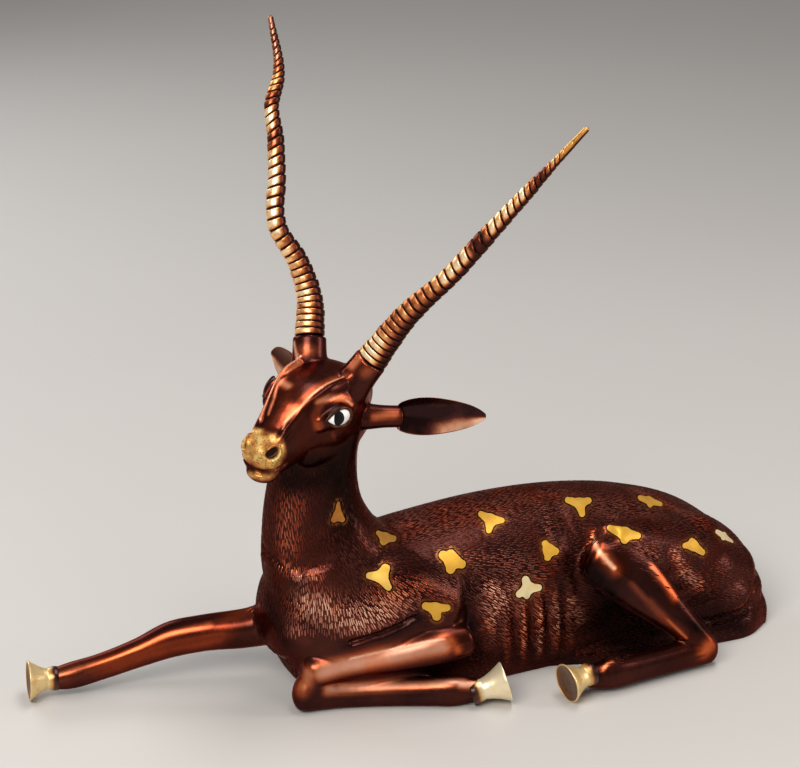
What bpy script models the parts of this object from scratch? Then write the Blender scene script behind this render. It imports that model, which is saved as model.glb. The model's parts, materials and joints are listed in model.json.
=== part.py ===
"""Lying antelope figurine: one hollow brass casting with two ringed horns and two inlaid eyes.

The animal faces -X with its left flank at -Y, and its head is turned to that side. The flat
underside rests on z = 0, and the origin lies on it below the middle of the trunk.
"""
import math

import bmesh
import bpy
import numpy as np

# Driving dimensions, in metres
FIGURE_HEIGHT = 0.422
HORN_BASE_DIAMETER = 0.0205
HORN_TIP_DIAMETER = 0.0036
HORN_RING_PITCH = 0.0056
HORN_GROOVE_DEPTH = 0.0009
HORN_SEAM_GAP = 0.0003
EYE_LENGTH = 0.0200
EYE_HEIGHT = 0.0135
EYE_DEPTH = 0.0110
EYE_SEAT_GAP = 0.0003
HOOF_SOLE_DIAMETER = 0.0262
HOOF_NECK_DIAMETER = 0.0135
CASTING_GRAIN = 0.0017
CASTING_FACES = 5300

# The pose and the proportions are drawn for a figure 422 mm tall, and grow with its height
DRAWN_HEIGHT = 422.0
MM = FIGURE_HEIGHT / DRAWN_HEIGHT

# The head has its own axes: forward, to the animal's left, and up, from midway between the horns
HEAD_TURN = math.radians(30.0)
HEAD_ROLL = math.radians(8.0)
HEAD_ORIGIN = np.array([-46.2, -6.1, 234.4])

SIDE = np.array([0.0, 1.0, 0.0])

# Rib folds on the flanks, in drawn millimetres: where they lie along the body and in height
RIBS_CENTRE = (75.0, 38.0)
RIBS_REACH = (36.0, 32.0)
RIB_PITCH = 12.5
RIB_RELIEF = 1.6
RIB_LEAN = 0.1
FLANK_FROM = 38.0


def head_axes():
    """Forward, left and up of the head, as unit vectors."""
    forward = np.array([-math.cos(HEAD_TURN), -math.sin(HEAD_TURN), 0.0])
    level = np.array([math.sin(HEAD_TURN), -math.cos(HEAD_TURN), 0.0])
    upright = np.array([0.0, 0.0, 1.0])
    left = level * math.cos(HEAD_ROLL) - upright * math.sin(HEAD_ROLL)
    up = upright * math.cos(HEAD_ROLL) + level * math.sin(HEAD_ROLL)
    return forward, left, up


FORWARD, LEFT, UP = head_axes()


def in_head(rows, flip=1.0):
    """Rows given as forward, left, up and sizes, put where the head is; flip mirrors them."""
    rows = np.asarray(rows, float)
    places = HEAD_ORIGIN + rows[:, :1] * FORWARD + flip * rows[:, 1:2] * LEFT + rows[:, 2:3] * UP
    return np.hstack([places, rows[:, 3:]])


def smooth_rows(rows, step):
    """Rows read every step or so off a cubic curve through the given rows."""
    rows = np.asarray(rows, float)
    gaps = np.linalg.norm(np.diff(rows[:, :3], axis=0), axis=1)
    marks = np.concatenate([[0.0], np.cumsum(gaps)])
    slopes = np.gradient(rows, marks, axis=0)
    reads = np.linspace(0.0, marks[-1], max(3, int(marks[-1] / step) + 1))
    before = np.clip(np.searchsorted(marks, reads, side="right") - 1, 0, len(gaps) - 1)
    gap = gaps[before][:, None]
    share = (reads - marks[before])[:, None] / gap
    rest = 1.0 - share
    start = (1.0 + 2.0 * share) * rest**2 * rows[before] + share * rest**2 * gap * slopes[before]
    end = (3.0 - 2.0 * share) * share**2 * rows[before + 1]
    return start + end - share**2 * rest * gap * slopes[before + 1]


def unit(vectors):
    """The vectors at length one."""
    return vectors / np.linalg.norm(vectors, axis=-1, keepdims=True)


def loft(rows, side=SIDE, power=2.2, ends=(8.0, 8.0), around=24, step=5.0):
    """Closed skin of superellipse rings along a smooth path, with rounded ends.

    A row is x, y, z, the half width along side, the half height above and the half height
    below, in drawn millimetres. Above is the path's direction crossed with side.
    """
    rows = smooth_rows(rows, step)
    along = unit(np.gradient(rows[:, :3], axis=0))
    across = unit(side - (along @ side)[:, None] * along)
    above = np.cross(along, across)
    turn = np.radians(np.arange(4) * 22.5 + 22.5)[:-1]
    first = [rows[0, :3] - along[0] * ends[0] * math.sin(a) for a in turn[::-1]]
    last = [rows[-1, :3] + along[-1] * ends[1] * math.sin(a) for a in turn]
    shrink = np.cos(turn)[:, None]
    centre = np.vstack([first, rows[:, :3], last])
    halves = np.vstack([rows[0, 3:6] * shrink[::-1], rows[:, 3:6], rows[-1, 3:6] * shrink])
    pad = ((len(turn), len(turn)), (0, 0))
    across = np.pad(across, pad, mode="edge")
    above = np.pad(above, pad, mode="edge")
    angle = np.arange(around) * math.tau / around
    wide = np.sign(np.cos(angle)) * np.abs(np.cos(angle)) ** (2.0 / power)
    tall = np.sign(np.sin(angle)) * np.abs(np.sin(angle)) ** (2.0 / power)
    height = np.where(tall > 0.0, halves[:, 1:2], halves[:, 2:3]) * tall
    ring = centre[:, None] + across[:, None] * (halves[:, :1] * wide)[..., None]
    ring = ring + above[:, None] * height[..., None]
    poles = rows[0, :3] - along[0] * ends[0], rows[-1, :3] + along[-1] * ends[1]
    return skin_of(ring, poles)


def skin_of(ring, poles):
    """Points and faces of a closed skin through rings of points, closed at two poles."""
    count, around = ring.shape[:2]
    points = np.vstack([ring.reshape(-1, 3), poles])
    index = np.arange(count * around).reshape(count, around)
    turned = np.roll(index, -1, axis=1)
    quads = np.stack([index[:-1], turned[:-1], turned[1:], index[1:]], axis=-1).reshape(-1, 4)
    foot = [(count * around, b, a) for a, b in zip(index[0], turned[0])]
    head = [(count * around + 1, a, b) for a, b in zip(index[-1], turned[-1])]
    return points, [tuple(q) for q in quads] + foot + head


def ball(centre, halves, axes=np.eye(3), around=20):
    """Closed ellipsoid: three half lengths, each along its own axis."""
    rise = np.radians(np.linspace(-90.0, 90.0, around // 2 + 1))[1:-1]
    angle = np.arange(around) * math.tau / around
    local = np.stack([
        np.cos(rise)[:, None] * np.cos(angle),
        np.cos(rise)[:, None] * np.sin(angle),
        np.sin(rise)[:, None] * np.ones(around),
    ], axis=-1) * halves
    pole = np.asarray(axes)[2] * halves[2]
    return skin_of(centre + local @ np.asarray(axes), (centre - pole, centre + pole))


def new_object(name, skins):
    """One mesh object holding the given closed skins, in metres."""
    form = bmesh.new()
    for points, faces in skins:
        corners = [form.verts.new(point * MM) for point in points]
        for face in faces:
            form.faces.new([corners[int(i)] for i in face])
    bmesh.ops.recalc_face_normals(form, faces=form.faces)
    mesh = bpy.data.meshes.new(name)
    form.to_mesh(mesh)
    form.free()
    made = bpy.data.objects.new(name, mesh)
    bpy.context.scene.collection.objects.link(made)
    return made


def settle(made):
    """Turn the object's live modifiers into its own mesh."""
    shown = made.evaluated_get(bpy.context.evaluated_depsgraph_get())
    mesh = bpy.data.meshes.new_from_object(shown)
    made.modifiers.clear()
    made.data = mesh


def keep_outer_skin(made):
    """Drop the small closed skins that the fusing leaves round pockets inside the body."""
    form = bmesh.new()
    form.from_mesh(made.data)
    waiting = set(form.verts)
    islands = []
    while waiting:
        island = {waiting.pop()}
        edge = list(island)
        while edge:
            near = {link.other_vert(corner) for corner in edge for link in corner.link_edges} - island
            island |= near
            edge = list(near)
        waiting -= island
        islands.append(island)
    islands.sort(key=len)
    pockets = [corner for island in islands[:-1] for corner in island]
    bmesh.ops.delete(form, geom=pockets, context="VERTS")
    form.to_mesh(made.data)
    form.free()


def cut(made, cutter):
    """Take the cutter's shape out of the object."""
    cutter.hide_render = True
    cutter.display_type = "WIRE"
    knife = made.modifiers.new(cutter.name, "BOOLEAN")
    knife.operation = "DIFFERENCE"
    knife.solver = "EXACT"
    knife.object = cutter


def trunk_skins():
    """Belly, chest, shoulders and rump: x, y, z, half width, half height up and down."""
    trunk = [
        (-83, 0, 62, 32, 28, 34),
        (-64, 0, 58, 45, 42, 56),
        (-30, 0, 56, 53, 43, 76),
        (15, 0, 56, 55, 48, 84),
        (65, 0, 56, 54, 52, 84),
        (115, 0, 54, 53, 52, 80),
        (165, 0, 48, 53, 48, 74),
        (205, 0, 41, 52, 39, 66),
        (232, 0, 34, 46, 27, 54),
    ]
    croup = [(185, -18, 44, 33, 36, 38), (215, -22, 37, 33, 31, 32), (236, -22, 32, 27, 23, 25)]
    haunch_foot = [
        (85, 0, 2, 42, 14, 20),
        (130, 0, 4, 56, 16, 20),
        (205, 0, 5, 62, 17, 20),
        (236, 0, 5, 60, 22, 20),
        (251, 0, 5, 50, 22, 20),
    ]
    haunch_side = [
        (150, 0, 24, 48, 18, 26),
        (180, 0, 26, 55, 22, 28),
        (210, 0, 27, 59, 24, 28),
        (236, 0, 25, 55, 22, 26),
        (247, 0, 22, 48, 18, 24),
    ]
    far_croup = [(x, -y, z - 5, a, b, c) for x, y, z, a, b, c in croup]
    return [
        loft(trunk, power=2.3, ends=(16, 22), around=36, step=8),
        loft(croup, ends=(20, 16)),
        loft(far_croup, ends=(20, 16)),
        loft(haunch_foot, power=2.6, ends=(16, 12), around=32),
        loft(haunch_side, ends=(14, 12), around=32),
    ]


def neck_skins():
    """Neck from the chest to the nape: half width, half depth to the front and to the back."""
    neck = [
        (-38, 0, 52, 50, 56, 50),
        (-46, 0, 78, 45, 50, 45),
        (-56, -1, 102, 37, 43, 36),
        (-62, -2, 126, 29, 35, 30),
        (-63, -4, 150, 25, 30, 26),
        (-60, -7, 175, 23, 27, 23),
        (-53, -8, 198, 21, 22, 22),
    ]
    return [loft(neck, ends=(10, 6), step=6)]


def head_skins():
    """Skull, muzzle, cheeks, brow ridges, orbits and pedicles, along the head's own axes."""
    skull = [
        (-16, 0, -32, 17, 15, 17),
        (0, 0, -33, 24, 24, 28),
        (20, 0, -35, 26, 27, 28),
        (37, 0, -38, 22.5, 28, 25),
        (48, 0, -43, 17, 24, 21),
        (59, 0, -48, 14, 18, 17),
        (69, 0, -51, 13.5, 15, 14),
        (75, 0, -53, 12.5, 12, 11),
    ]
    skins = [loft(in_head(skull), side=LEFT, power=2.5, ends=(8, 5), around=28, step=4)]
    ridge = [(12, 17, -12, 4, 4, 4), (33, 16, -12.5, 3.6, 3.6, 4), (46, 13, -18.5, 3.2, 3.2, 3.6)]
    ridge += [(58, 10, -28.5, 3.0, 2.8, 3.0), (68, 9, -37, 3, 2.8, 3)]
    orbit = [(20, 17, -28, 9, 9, 9), (31, 18, -28, 9.5, 10, 10), (42, 16, -30, 8, 8, 8)]
    cheek = [(-8, 10, -48, 11, 13, 13), (10, 13, -53, 12, 12, 12), (38, 9, -56, 10, 9, 10)]
    for flip in (1.0, -1.0):
        skins.append(loft(in_head(ridge, flip), side=LEFT, ends=(4, 3), around=14, step=3))
        skins.append(loft(in_head(orbit, flip), side=LEFT, ends=(6, 6), around=18, step=3))
        skins.append(loft(in_head(cheek, flip), side=LEFT, ends=(8, 8), around=18, step=5))
        nostril_wing = in_head([(73.5, 8.5, -45)], flip)[0]
        skins.append(ball(nostril_wing, (6.5, 6.0, 7.0), (FORWARD, LEFT, UP)))
    chin = in_head([(70, 0, -62)])[0]
    skins.append(ball(chin, (9.5, 10.5, 6.5), (FORWARD, LEFT, UP)))
    return skins


def ear_skins():
    """Ears: a round root and a leaf whose hollow side faces forward."""
    skins = []
    stem = [(0.0, 8.5, 8.5, 8.5), (0.18, 7.2, 7.2, 7.2), (0.38, 7.0, 7.0, 7.0)]
    leaf = [(0.30, 6.5, 4.5, 6.5), (0.46, 11.5, -0.5, 6.8), (0.62, 13.8, -2.6, 6.4)]
    leaf += [(0.78, 11.6, -2.0, 5.2), (0.92, 6.2, 0.4, 3.0), (0.98, 2.5, 1.0, 1.6)]
    root = np.array([-4.0, 22.0, -41.0])
    for tip, flip in (((-58, 78, -38), 1.0), ((-45, 84, -48), -1.0)):
        reach = np.array(tip, float) - root
        for shape, ends in ((stem, (5, 3)), (leaf, (2, 1.5))):
            rows = in_head([(*(root + reach * share), *sizes) for share, *sizes in shape], flip)
            skins.append(loft(rows, side=UP * flip, power=2.0, ends=ends, around=20, step=3))
    return skins


def hoof_skins(neck, sole):
    """Bell of a hoof from the pastern to its sole, both in drawn millimetres."""
    neck = np.asarray(neck, float)
    reach = np.asarray(sole, float) - neck
    narrow = HOOF_NECK_DIAMETER / MM / 2.0
    wide = HOOF_SOLE_DIAMETER / MM / 2.0
    bell = ((-0.45, 1.15, 0.0), (-0.2, 1.2, 0.0), (0.15, 1.0, 0.0), (0.6, 0.55, 0.4), (1.0, 0.0, 0.985))
    rows = [(*(neck + reach * share), *(3 * [a * narrow + b * wide])) for share, a, b in bell]
    return [loft(rows, power=2.0, ends=(4, 0.8), step=2.5)]


def leg_skins():
    """Legs: each row has its half width across and its half heights up and down."""
    limbs = [
        # Left foreleg, folded: upper arm, forearm, knee and cannon
        [(-50, -12, 84, 24, 26, 28), (-18, -31, 72, 24, 26, 28), (12, -42, 56, 18, 20, 20)],
        [(-78, -33, 28, 10, 11, 10), (-55, -39, 32, 9.5, 10, 9.5), (-25, -49, 36, 10.5, 10.5, 10),
         (2, -57, 41, 11, 12, 12), (16, -59, 43, 10, 10, 11)],
        [(-84, -31, 14, 10, 13, 13), (-66, -34, 10, 8.6, 9.4, 9.4), (-30, -47, 9.2, 7.8, 9, 9),
         (-6, -58, 9.6, 8, 9.4, 9.4), (6, -63.5, 10, 8.2, 10, 10), (18, -68.5, 11, 6.4, 7, 7)],
        # Right foreleg, stretched forward
        [(-64, 16, 43, 14, 15, 17), (-100, 26, 37, 12.5, 13, 13), (-128, 35, 35, 11, 12, 12),
         (-146, 41, 32, 10.5, 12, 12), (-168, 46, 24.5, 8.6, 9.6, 9.6),
         (-195, 51, 17, 7.8, 8.6, 8.6), (-215, 54, 13.5, 8, 8.4, 8.4), (-225, 55, 13, 6.6, 6.8, 6.8)],
        # Left hind leg: thigh, shin and cannon
        [(232, -8, 36, 16, 18, 18), (205, -24, 51, 25, 27, 30), (172, -39, 63, 24, 24, 28),
         (142, -50, 72, 20, 23.5, 27), (122, -54, 77, 16, 22, 24)],
        [(112, -57, 80, 12, 15, 15), (121, -61, 75, 13.5, 21, 18), (134, -67, 62, 12.5, 23, 17),
         (151, -74.5, 46, 10.5, 17, 13.5),
         (168, -81, 29, 8.5, 11.5, 10), (180, -84, 16, 8.5, 9.5, 9.5)],
        [(183, -84, 12, 9, 10.5, 11), (160, -86, 12, 8.5, 9.6, 9.6), (125, -88.5, 12, 8.5, 9.4, 9.4),
         (106, -89, 12.4, 9, 10, 10), (94, -89, 12.6, 7, 7.4, 7.4)],
        # Right hind leg, folded the same way and plainer
        [(232, 8, 30, 16, 18, 18), (205, 24, 42, 25, 28, 30), (172, 40, 50, 22, 26, 28),
         (142, 50, 54, 17, 22, 24)],
        [(130, 56, 54, 12, 16, 16), (152, 68, 40, 10, 13, 13), (178, 82, 16, 8.5, 9.5, 9.5)],
        [(183, 83, 12, 9, 10.5, 11), (150, 86, 12, 8.5, 9.5, 9.5), (108, 88, 12.4, 8, 8.6, 8.6)],
    ]
    skins = [loft(rows, ends=(8, 7)) for rows in limbs]
    skins += hoof_skins((21, -70.5, 10), (38, -75, 15))
    skins += hoof_skins((-226, 55.5, 13.5), (-240, 58, 14))
    skins += hoof_skins((90, -89, 14.5), (75, -90.4, 12.8))
    skins += hoof_skins((104, 88, 12.5), (90, 89, 13.8))
    return skins


def tail_skins():
    """Short flat tail laid down the middle of the rump."""
    tail = [(234, 0, 55, 8, 7, 7), (248, 0, 45, 10, 7, 7), (256, 0, 29, 11, 6, 6), (257, 0, 10, 8, 5, 5)]
    return [loft(tail, power=2.4, ends=(4, 3))]


HORN_PATHS = {
    "left": [(-34, -27, 232), (-16, -37, 260), (9, -54, 291), (21, -64, 310), (47, -81, 347),
             (73, -100, 385)],
    "right": [(-58, 15, 237), (-53, 26, 258), (-56, 36, 279), (-66, 46, 302), (-60, 60, 331),
              (-56, 71, 353), (-55, 79, 369), (-46, 88, 388), (-44, 105, 421)],
}


def horn_line(side, step=1.0):
    """Points along a horn's middle line, and its directions, in drawn millimetres."""
    line = smooth_rows(HORN_PATHS[side], step)
    return line, unit(np.gradient(line, axis=0))


def smooth_reads(table, share):
    """The table's rows read at shares of its length, between its own rows."""
    reads = share * (len(table) - 1)
    return np.stack([np.interp(reads, np.arange(len(table)), column) for column in table.T], axis=1)


def horn_skins(side):
    """Stacked rings, each widest at its upper lip, on a horn that thins toward its tip."""
    line, along = horn_line(side)
    length = np.linalg.norm(np.diff(line, axis=0), axis=1).sum() * MM
    rings = round(length / HORN_RING_PITCH)
    share = np.concatenate([[k / rings, (k + 0.72) / rings] for k in range(rings)] + [[1.0]])
    lip = np.concatenate([[0.0, 1.0] * rings, [1.0]])
    lip[0] = 0.8
    girth = np.interp(share, (0, 0.12, 0.3, 0.55, 0.8, 1.0), (1.0, 0.80, 0.56, 0.50, 0.34, 0.0))
    radius = (HORN_TIP_DIAMETER + (HORN_BASE_DIAMETER - HORN_TIP_DIAMETER) * girth) / 2.0
    depth = np.minimum(HORN_GROOVE_DEPTH, radius * 0.3)
    radius = (radius - depth * (1.0 - lip)) / MM
    centre, along = smooth_reads(line, share), unit(smooth_reads(along, share))
    across = unit(SIDE - (along @ SIDE)[:, None] * along)
    above = np.cross(along, across)
    angle = np.arange(12) * math.tau / 12
    ring = centre[:, None] + radius[:, None, None] * (
        across[:, None] * np.cos(angle)[:, None] + above[:, None] * np.sin(angle)[:, None])
    return [skin_of(ring, (centre[0], centre[-1] + along[-1] * radius[-1]))]


def pedicle_skins(side):
    """Stalk that carries a horn, a little wider than the horn's base."""
    line, along = horn_line(side)
    base = HORN_BASE_DIAMETER / MM / 2.0
    rows = [(*(line[0] + along[0] * back), *(3 * [base * grow]))
            for back, grow in ((-24, 1.25), (-12, 1.08), (0, 1.04), (4, 1.04))]
    return [loft(rows, power=2.0, ends=(4, 1), step=3)]


def seat_skins(side):
    """Cutter whose flat foot is the seat under a horn, the seam's gap below the horn."""
    line, along = horn_line(side)
    foot = line[0] - along[0] * (HORN_SEAM_GAP / MM)
    reach = HORN_BASE_DIAMETER / MM
    rows = [(*(foot + along[0] * far), reach, reach, reach) for far in (0.0, 20.0)]
    return [loft(rows, power=2.0, ends=(0.0, 0.0))]


def eye_skins(flip, gap):
    """Almond of an eye, set into the orbit, with a gap all round it."""
    centre = in_head([(32.5, 24.5, -27.5)], flip)[0]
    outward = unit(LEFT * flip * 0.93 + FORWARD * 0.32 + UP * 0.16)
    level = unit(FORWARD - outward * (FORWARD @ outward))
    halves = np.array([EYE_LENGTH, EYE_HEIGHT, EYE_DEPTH]) / 2.0 + gap
    return [ball(centre, halves / MM, (level, np.cross(outward, level), outward), around=14)]


def mouth_skins():
    """Slim tube along the closed lips, and a pocket for each nostril."""
    half = [(60, 16.5, -58, 0.9, 0.9, 0.9), (72, 13.5, -58, 1.1, 1.1, 1.1), (79, 8, -58, 1.1, 1.1, 1.1)]
    front = in_head([(82, 0, -57.5, 1.1, 1.1, 1.1)])
    whole = np.vstack([in_head(half), front, in_head(half, -1.0)[::-1]])
    skins = [loft(whole, side=UP, power=2.0, ends=(1, 1), around=10, step=3)]
    for flip in (1.0, -1.0):
        centre = in_head([(78, 11.5, -44)], flip)[0]
        skins.append(ball(centre, (5.2, 4.0, 3.8), (FORWARD, LEFT * flip, UP), around=12))
    return skins


def paint(made, name, colour, metallic, roughness):
    """Give the object its own plain material."""
    finish = bpy.data.materials.new(name)
    finish.use_nodes = True
    shader = finish.node_tree.nodes["Principled BSDF"]
    shader.inputs["Base Color"].default_value = (*colour, 1.0)
    shader.inputs["Metallic"].default_value = metallic
    shader.inputs["Roughness"].default_value = roughness
    made.data.materials.clear()
    made.data.materials.append(finish)


def carve_flank(made):
    """Raise the rib folds behind the left elbow, and behind the right one."""
    count = len(made.data.vertices)
    points = np.empty(count * 3)
    made.data.vertices.foreach_get("co", points)
    points = points.reshape(-1, 3)
    x, y, z = (points / MM).T
    along = np.clip(1.0 - ((x - RIBS_CENTRE[0]) / RIBS_REACH[0]) ** 2, 0.0, 1.0)
    upward = np.clip(1.0 - ((z - RIBS_CENTRE[1]) / RIBS_REACH[1]) ** 2, 0.0, 1.0)
    wave = RIB_RELIEF * along * upward * np.sin((x + RIB_LEAN * z) * math.tau / RIB_PITCH)
    points[:, 1] += np.where(np.abs(y) > FLANK_FROM, np.sign(y) * wave, 0.0) * MM
    made.data.vertices.foreach_set("co", points.ravel())
    made.data.update()


def soften_body(made):
    """Blend the forms of the trunk, haunches and neck where they meet; the rest stays crisp."""
    body = made.vertex_groups.new(name="body")
    inside = []
    for corner in made.data.vertices:
        x, y, z = corner.co / MM
        if -104.0 < x < 275.0 and abs(y) < 60.0 and 20.0 < z < 165.0:
            inside.append(corner.index)
    body.add(inside, 1.0, "REPLACE")
    blend = made.modifiers.new("blend", "SMOOTH")
    blend.vertex_group = body.name
    blend.factor = 0.5
    blend.iterations = 20
    settle(made)


def below_floor():
    """Cutter that fills the space below the floor, so that the casting rests flat."""
    bpy.ops.mesh.primitive_cube_add(size=2.0 * FIGURE_HEIGHT, location=(0.0, 0.0, -FIGURE_HEIGHT))
    block = bpy.context.object
    block.name = "below_floor"
    return block


def build_casting():
    """Fuse the body's forms into one skin, thin its faces, and cut seats, sockets and the foot."""
    skins = trunk_skins() + neck_skins() + head_skins() + ear_skins() + leg_skins() + tail_skins()
    skins += pedicle_skins("left") + pedicle_skins("right")
    made = new_object("deer_casting", skins)
    fuse = made.modifiers.new("fuse", "REMESH")
    fuse.mode = "VOXEL"
    fuse.voxel_size = CASTING_GRAIN
    soften = made.modifiers.new("soften", "SMOOTH")
    soften.factor = 0.5
    soften.iterations = 4
    settle(made)
    keep_outer_skin(made)
    soften_body(made)
    carve_flank(made)
    triangles = sum(len(face.vertices) - 2 for face in made.data.polygons)
    thin = made.modifiers.new("thin", "DECIMATE")
    thin.ratio = min(1.0, CASTING_FACES / triangles)
    settle(made)
    cut(made, below_floor())
    cut(made, new_object("seats", seat_skins("left") + seat_skins("right")))
    cut(made, new_object("sockets", eye_skins(1.0, EYE_SEAT_GAP) + eye_skins(-1.0, EYE_SEAT_GAP)))
    cut(made, new_object("mouth", mouth_skins()))
    paint(made, "patinated_brass", (0.13, 0.045, 0.025), 0.85, 0.32)
    return made


def build():
    """Make every piece in an empty scene."""
    for old in list(bpy.data.objects):
        bpy.data.objects.remove(old)
    build_casting()
    for side, flip in (("left", 1.0), ("right", -1.0)):
        horn = new_object(f"{side}_horn", horn_skins(side))
        paint(horn, f"{side}_horn_brass", (0.62, 0.34, 0.16), 0.9, 0.33)
        eye = new_object(f"{side}_eye", eye_skins(flip, 0.0))
        eye.data.shade_smooth()
        paint(eye, f"{side}_eye_enamel", (0.85, 0.85, 0.83), 0.0, 0.08)


build()
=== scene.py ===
# %% [markdown]
# A lying antelope in dark patinated brass, with two ringed horns and inlaid eyes. The real one is
# a hollow casting. Its smooth parts are polished to a gloss, its coat is chased with thousands of
# short hair strokes, and clover-shaped spots are rubbed back to bare yellow metal. This lesson
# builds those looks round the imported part, which gives every place and size.

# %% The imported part
import json
import math

import bpy
import numpy as np
from mathutils import Matrix, Vector
from mathutils.bvhtree import BVHTree
from mathutils.kdtree import KDTree

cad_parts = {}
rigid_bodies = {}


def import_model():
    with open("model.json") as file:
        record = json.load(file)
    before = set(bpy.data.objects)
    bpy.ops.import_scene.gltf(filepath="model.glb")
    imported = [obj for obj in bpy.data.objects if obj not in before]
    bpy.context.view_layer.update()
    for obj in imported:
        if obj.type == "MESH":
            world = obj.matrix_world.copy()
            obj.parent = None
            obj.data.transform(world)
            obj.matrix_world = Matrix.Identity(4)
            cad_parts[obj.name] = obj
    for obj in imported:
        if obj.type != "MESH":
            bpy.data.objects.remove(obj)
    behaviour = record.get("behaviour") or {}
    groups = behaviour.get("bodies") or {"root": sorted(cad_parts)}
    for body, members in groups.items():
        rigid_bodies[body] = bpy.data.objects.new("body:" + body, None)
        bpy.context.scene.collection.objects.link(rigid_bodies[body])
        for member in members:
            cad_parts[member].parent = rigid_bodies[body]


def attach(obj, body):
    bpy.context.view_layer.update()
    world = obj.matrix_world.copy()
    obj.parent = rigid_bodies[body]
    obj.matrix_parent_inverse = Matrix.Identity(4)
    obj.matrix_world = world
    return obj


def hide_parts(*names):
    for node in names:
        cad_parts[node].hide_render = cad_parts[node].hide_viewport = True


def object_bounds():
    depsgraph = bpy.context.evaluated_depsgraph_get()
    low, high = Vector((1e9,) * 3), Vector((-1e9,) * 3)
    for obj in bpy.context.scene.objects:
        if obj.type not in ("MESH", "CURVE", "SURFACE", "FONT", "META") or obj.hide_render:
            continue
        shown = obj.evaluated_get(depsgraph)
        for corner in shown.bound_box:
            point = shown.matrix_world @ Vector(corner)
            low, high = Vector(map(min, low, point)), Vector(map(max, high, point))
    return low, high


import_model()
cad_low, cad_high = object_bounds()

# The pose is drawn in millimetres for a figure that is 422.6 mm tall to its highest horn tip
DRAWN_TOP = 422.6
MM = cad_high.z / DRAWN_TOP
print("one drawn millimetre is", round(MM * 1000, 4), "mm")

# %% [markdown]
# The camera looks down on the figure from its left front. Three angles and a distance give the
# view, and the lens follows from the size that the figure has in the picture. Working it out from
# one named pixel, where the frame's origin shows, keeps the framing easy to read and to change.


# %% Camera
def linked(name, data):
    """New object that shows the data, put in the scene at the origin."""
    made = bpy.data.objects.new(name, data)
    bpy.context.scene.collection.objects.link(made)
    return made


IMAGE_SIZE = (800, 768)
ORIGIN_PIXEL = (403, 665)
AZIMUTH = math.radians(-25.0)
ELEVATION = math.radians(21.0)
DISTANCE = 1700.0 * MM
PIXELS_PER_METRE = 1500.0
SENSOR_WIDTH = 36.0

back = Vector((math.sin(AZIMUTH) * math.cos(ELEVATION), -math.cos(AZIMUTH) * math.cos(ELEVATION),
               math.sin(ELEVATION)))
right = Vector((math.cos(AZIMUTH), math.sin(AZIMUTH), 0.0))
upward = back.cross(right)
aside = (ORIGIN_PIXEL[0] - IMAGE_SIZE[0] / 2) / PIXELS_PER_METRE
below = (ORIGIN_PIXEL[1] - IMAGE_SIZE[1] / 2) / PIXELS_PER_METRE

lens = bpy.data.cameras.new("camera")
lens.sensor_width = SENSOR_WIDTH
lens.lens = PIXELS_PER_METRE * DISTANCE / IMAGE_SIZE[0] * SENSOR_WIDTH
camera = linked("camera", lens)
camera.rotation_euler = Matrix((right, upward, back)).transposed().to_euler()
camera.location = back * DISTANCE - right * aside + upward * below
bpy.context.scene.camera = camera


def seen(tree, pixels):
    """Places in drawn millimetres where the skin in the tree shows at pixels of the picture."""
    eye = camera.location / MM
    places = []
    for across, down in pixels:
        way = right * (across - IMAGE_SIZE[0] / 2) - upward * (down - IMAGE_SIZE[1] / 2)
        way = (way / (PIXELS_PER_METRE * DISTANCE) - back).normalized()
        hit = tree.ray_cast(eye, way)[0]
        places.append(hit or tree.find_nearest(eye + way * DISTANCE / MM)[0])
    return np.array(places)


print("lens", round(lens.lens, 1), "mm, camera at", [round(v, 3) for v in camera.location])

# %% [markdown]
# Polished metal shows what surrounds it, so the light is made of large soft panels. A wide key
# panel stands to the left front, a narrower one opposite gives the thin sheen along the far edges,
# and a panel overhead draws the line of the back. Each panel is an area lamp that faces the figure.


# %% Light
def panel(name, place, size, watts, colour=(1.0, 1.0, 1.0), aim=(0.0, 0.0, 0.12)):
    """Area lamp at a place, turned to face the aim, both in metres."""
    lamp = bpy.data.lights.new(name, "AREA")
    lamp.shape = "RECTANGLE"
    lamp.size, lamp.size_y = size
    lamp.energy = watts
    lamp.color = colour
    held = linked(name, lamp)
    held.location = place
    held.rotation_euler = (Vector(aim) - Vector(place)).to_track_quat("-Z", "Y").to_euler()
    return held


panel("key_panel", (-1.05, -0.95, 1.25), (1.0, 0.7), 27.0, (1.0, 0.94, 0.87))
panel("top_panel", (0.25, -0.1, 1.7), (1.4, 0.5), 15.0, (1.0, 0.96, 0.92))
panel("right_panel", (1.35, -0.75, 0.65), (0.35, 0.9), 8.0, (1.0, 0.93, 0.86))
panel("back_panel", (-0.5, 1.5, 0.8), (1.2, 0.5), 9.0)

world = bpy.data.worlds.new("room")
world.use_nodes = True
world.node_tree.nodes["Background"].inputs["Color"].default_value = (1.0, 0.97, 0.94, 1.0)
world.node_tree.nodes["Background"].inputs["Strength"].default_value = 0.26
bpy.context.scene.world = world
bpy.context.scene.view_settings.view_transform = "Standard"

# %% [markdown]
# Every finish here is a small graph of shader nodes. A short helper that adds a node, sets its
# plain values and joins its inputs keeps each finish readable as a list of steps.


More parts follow.
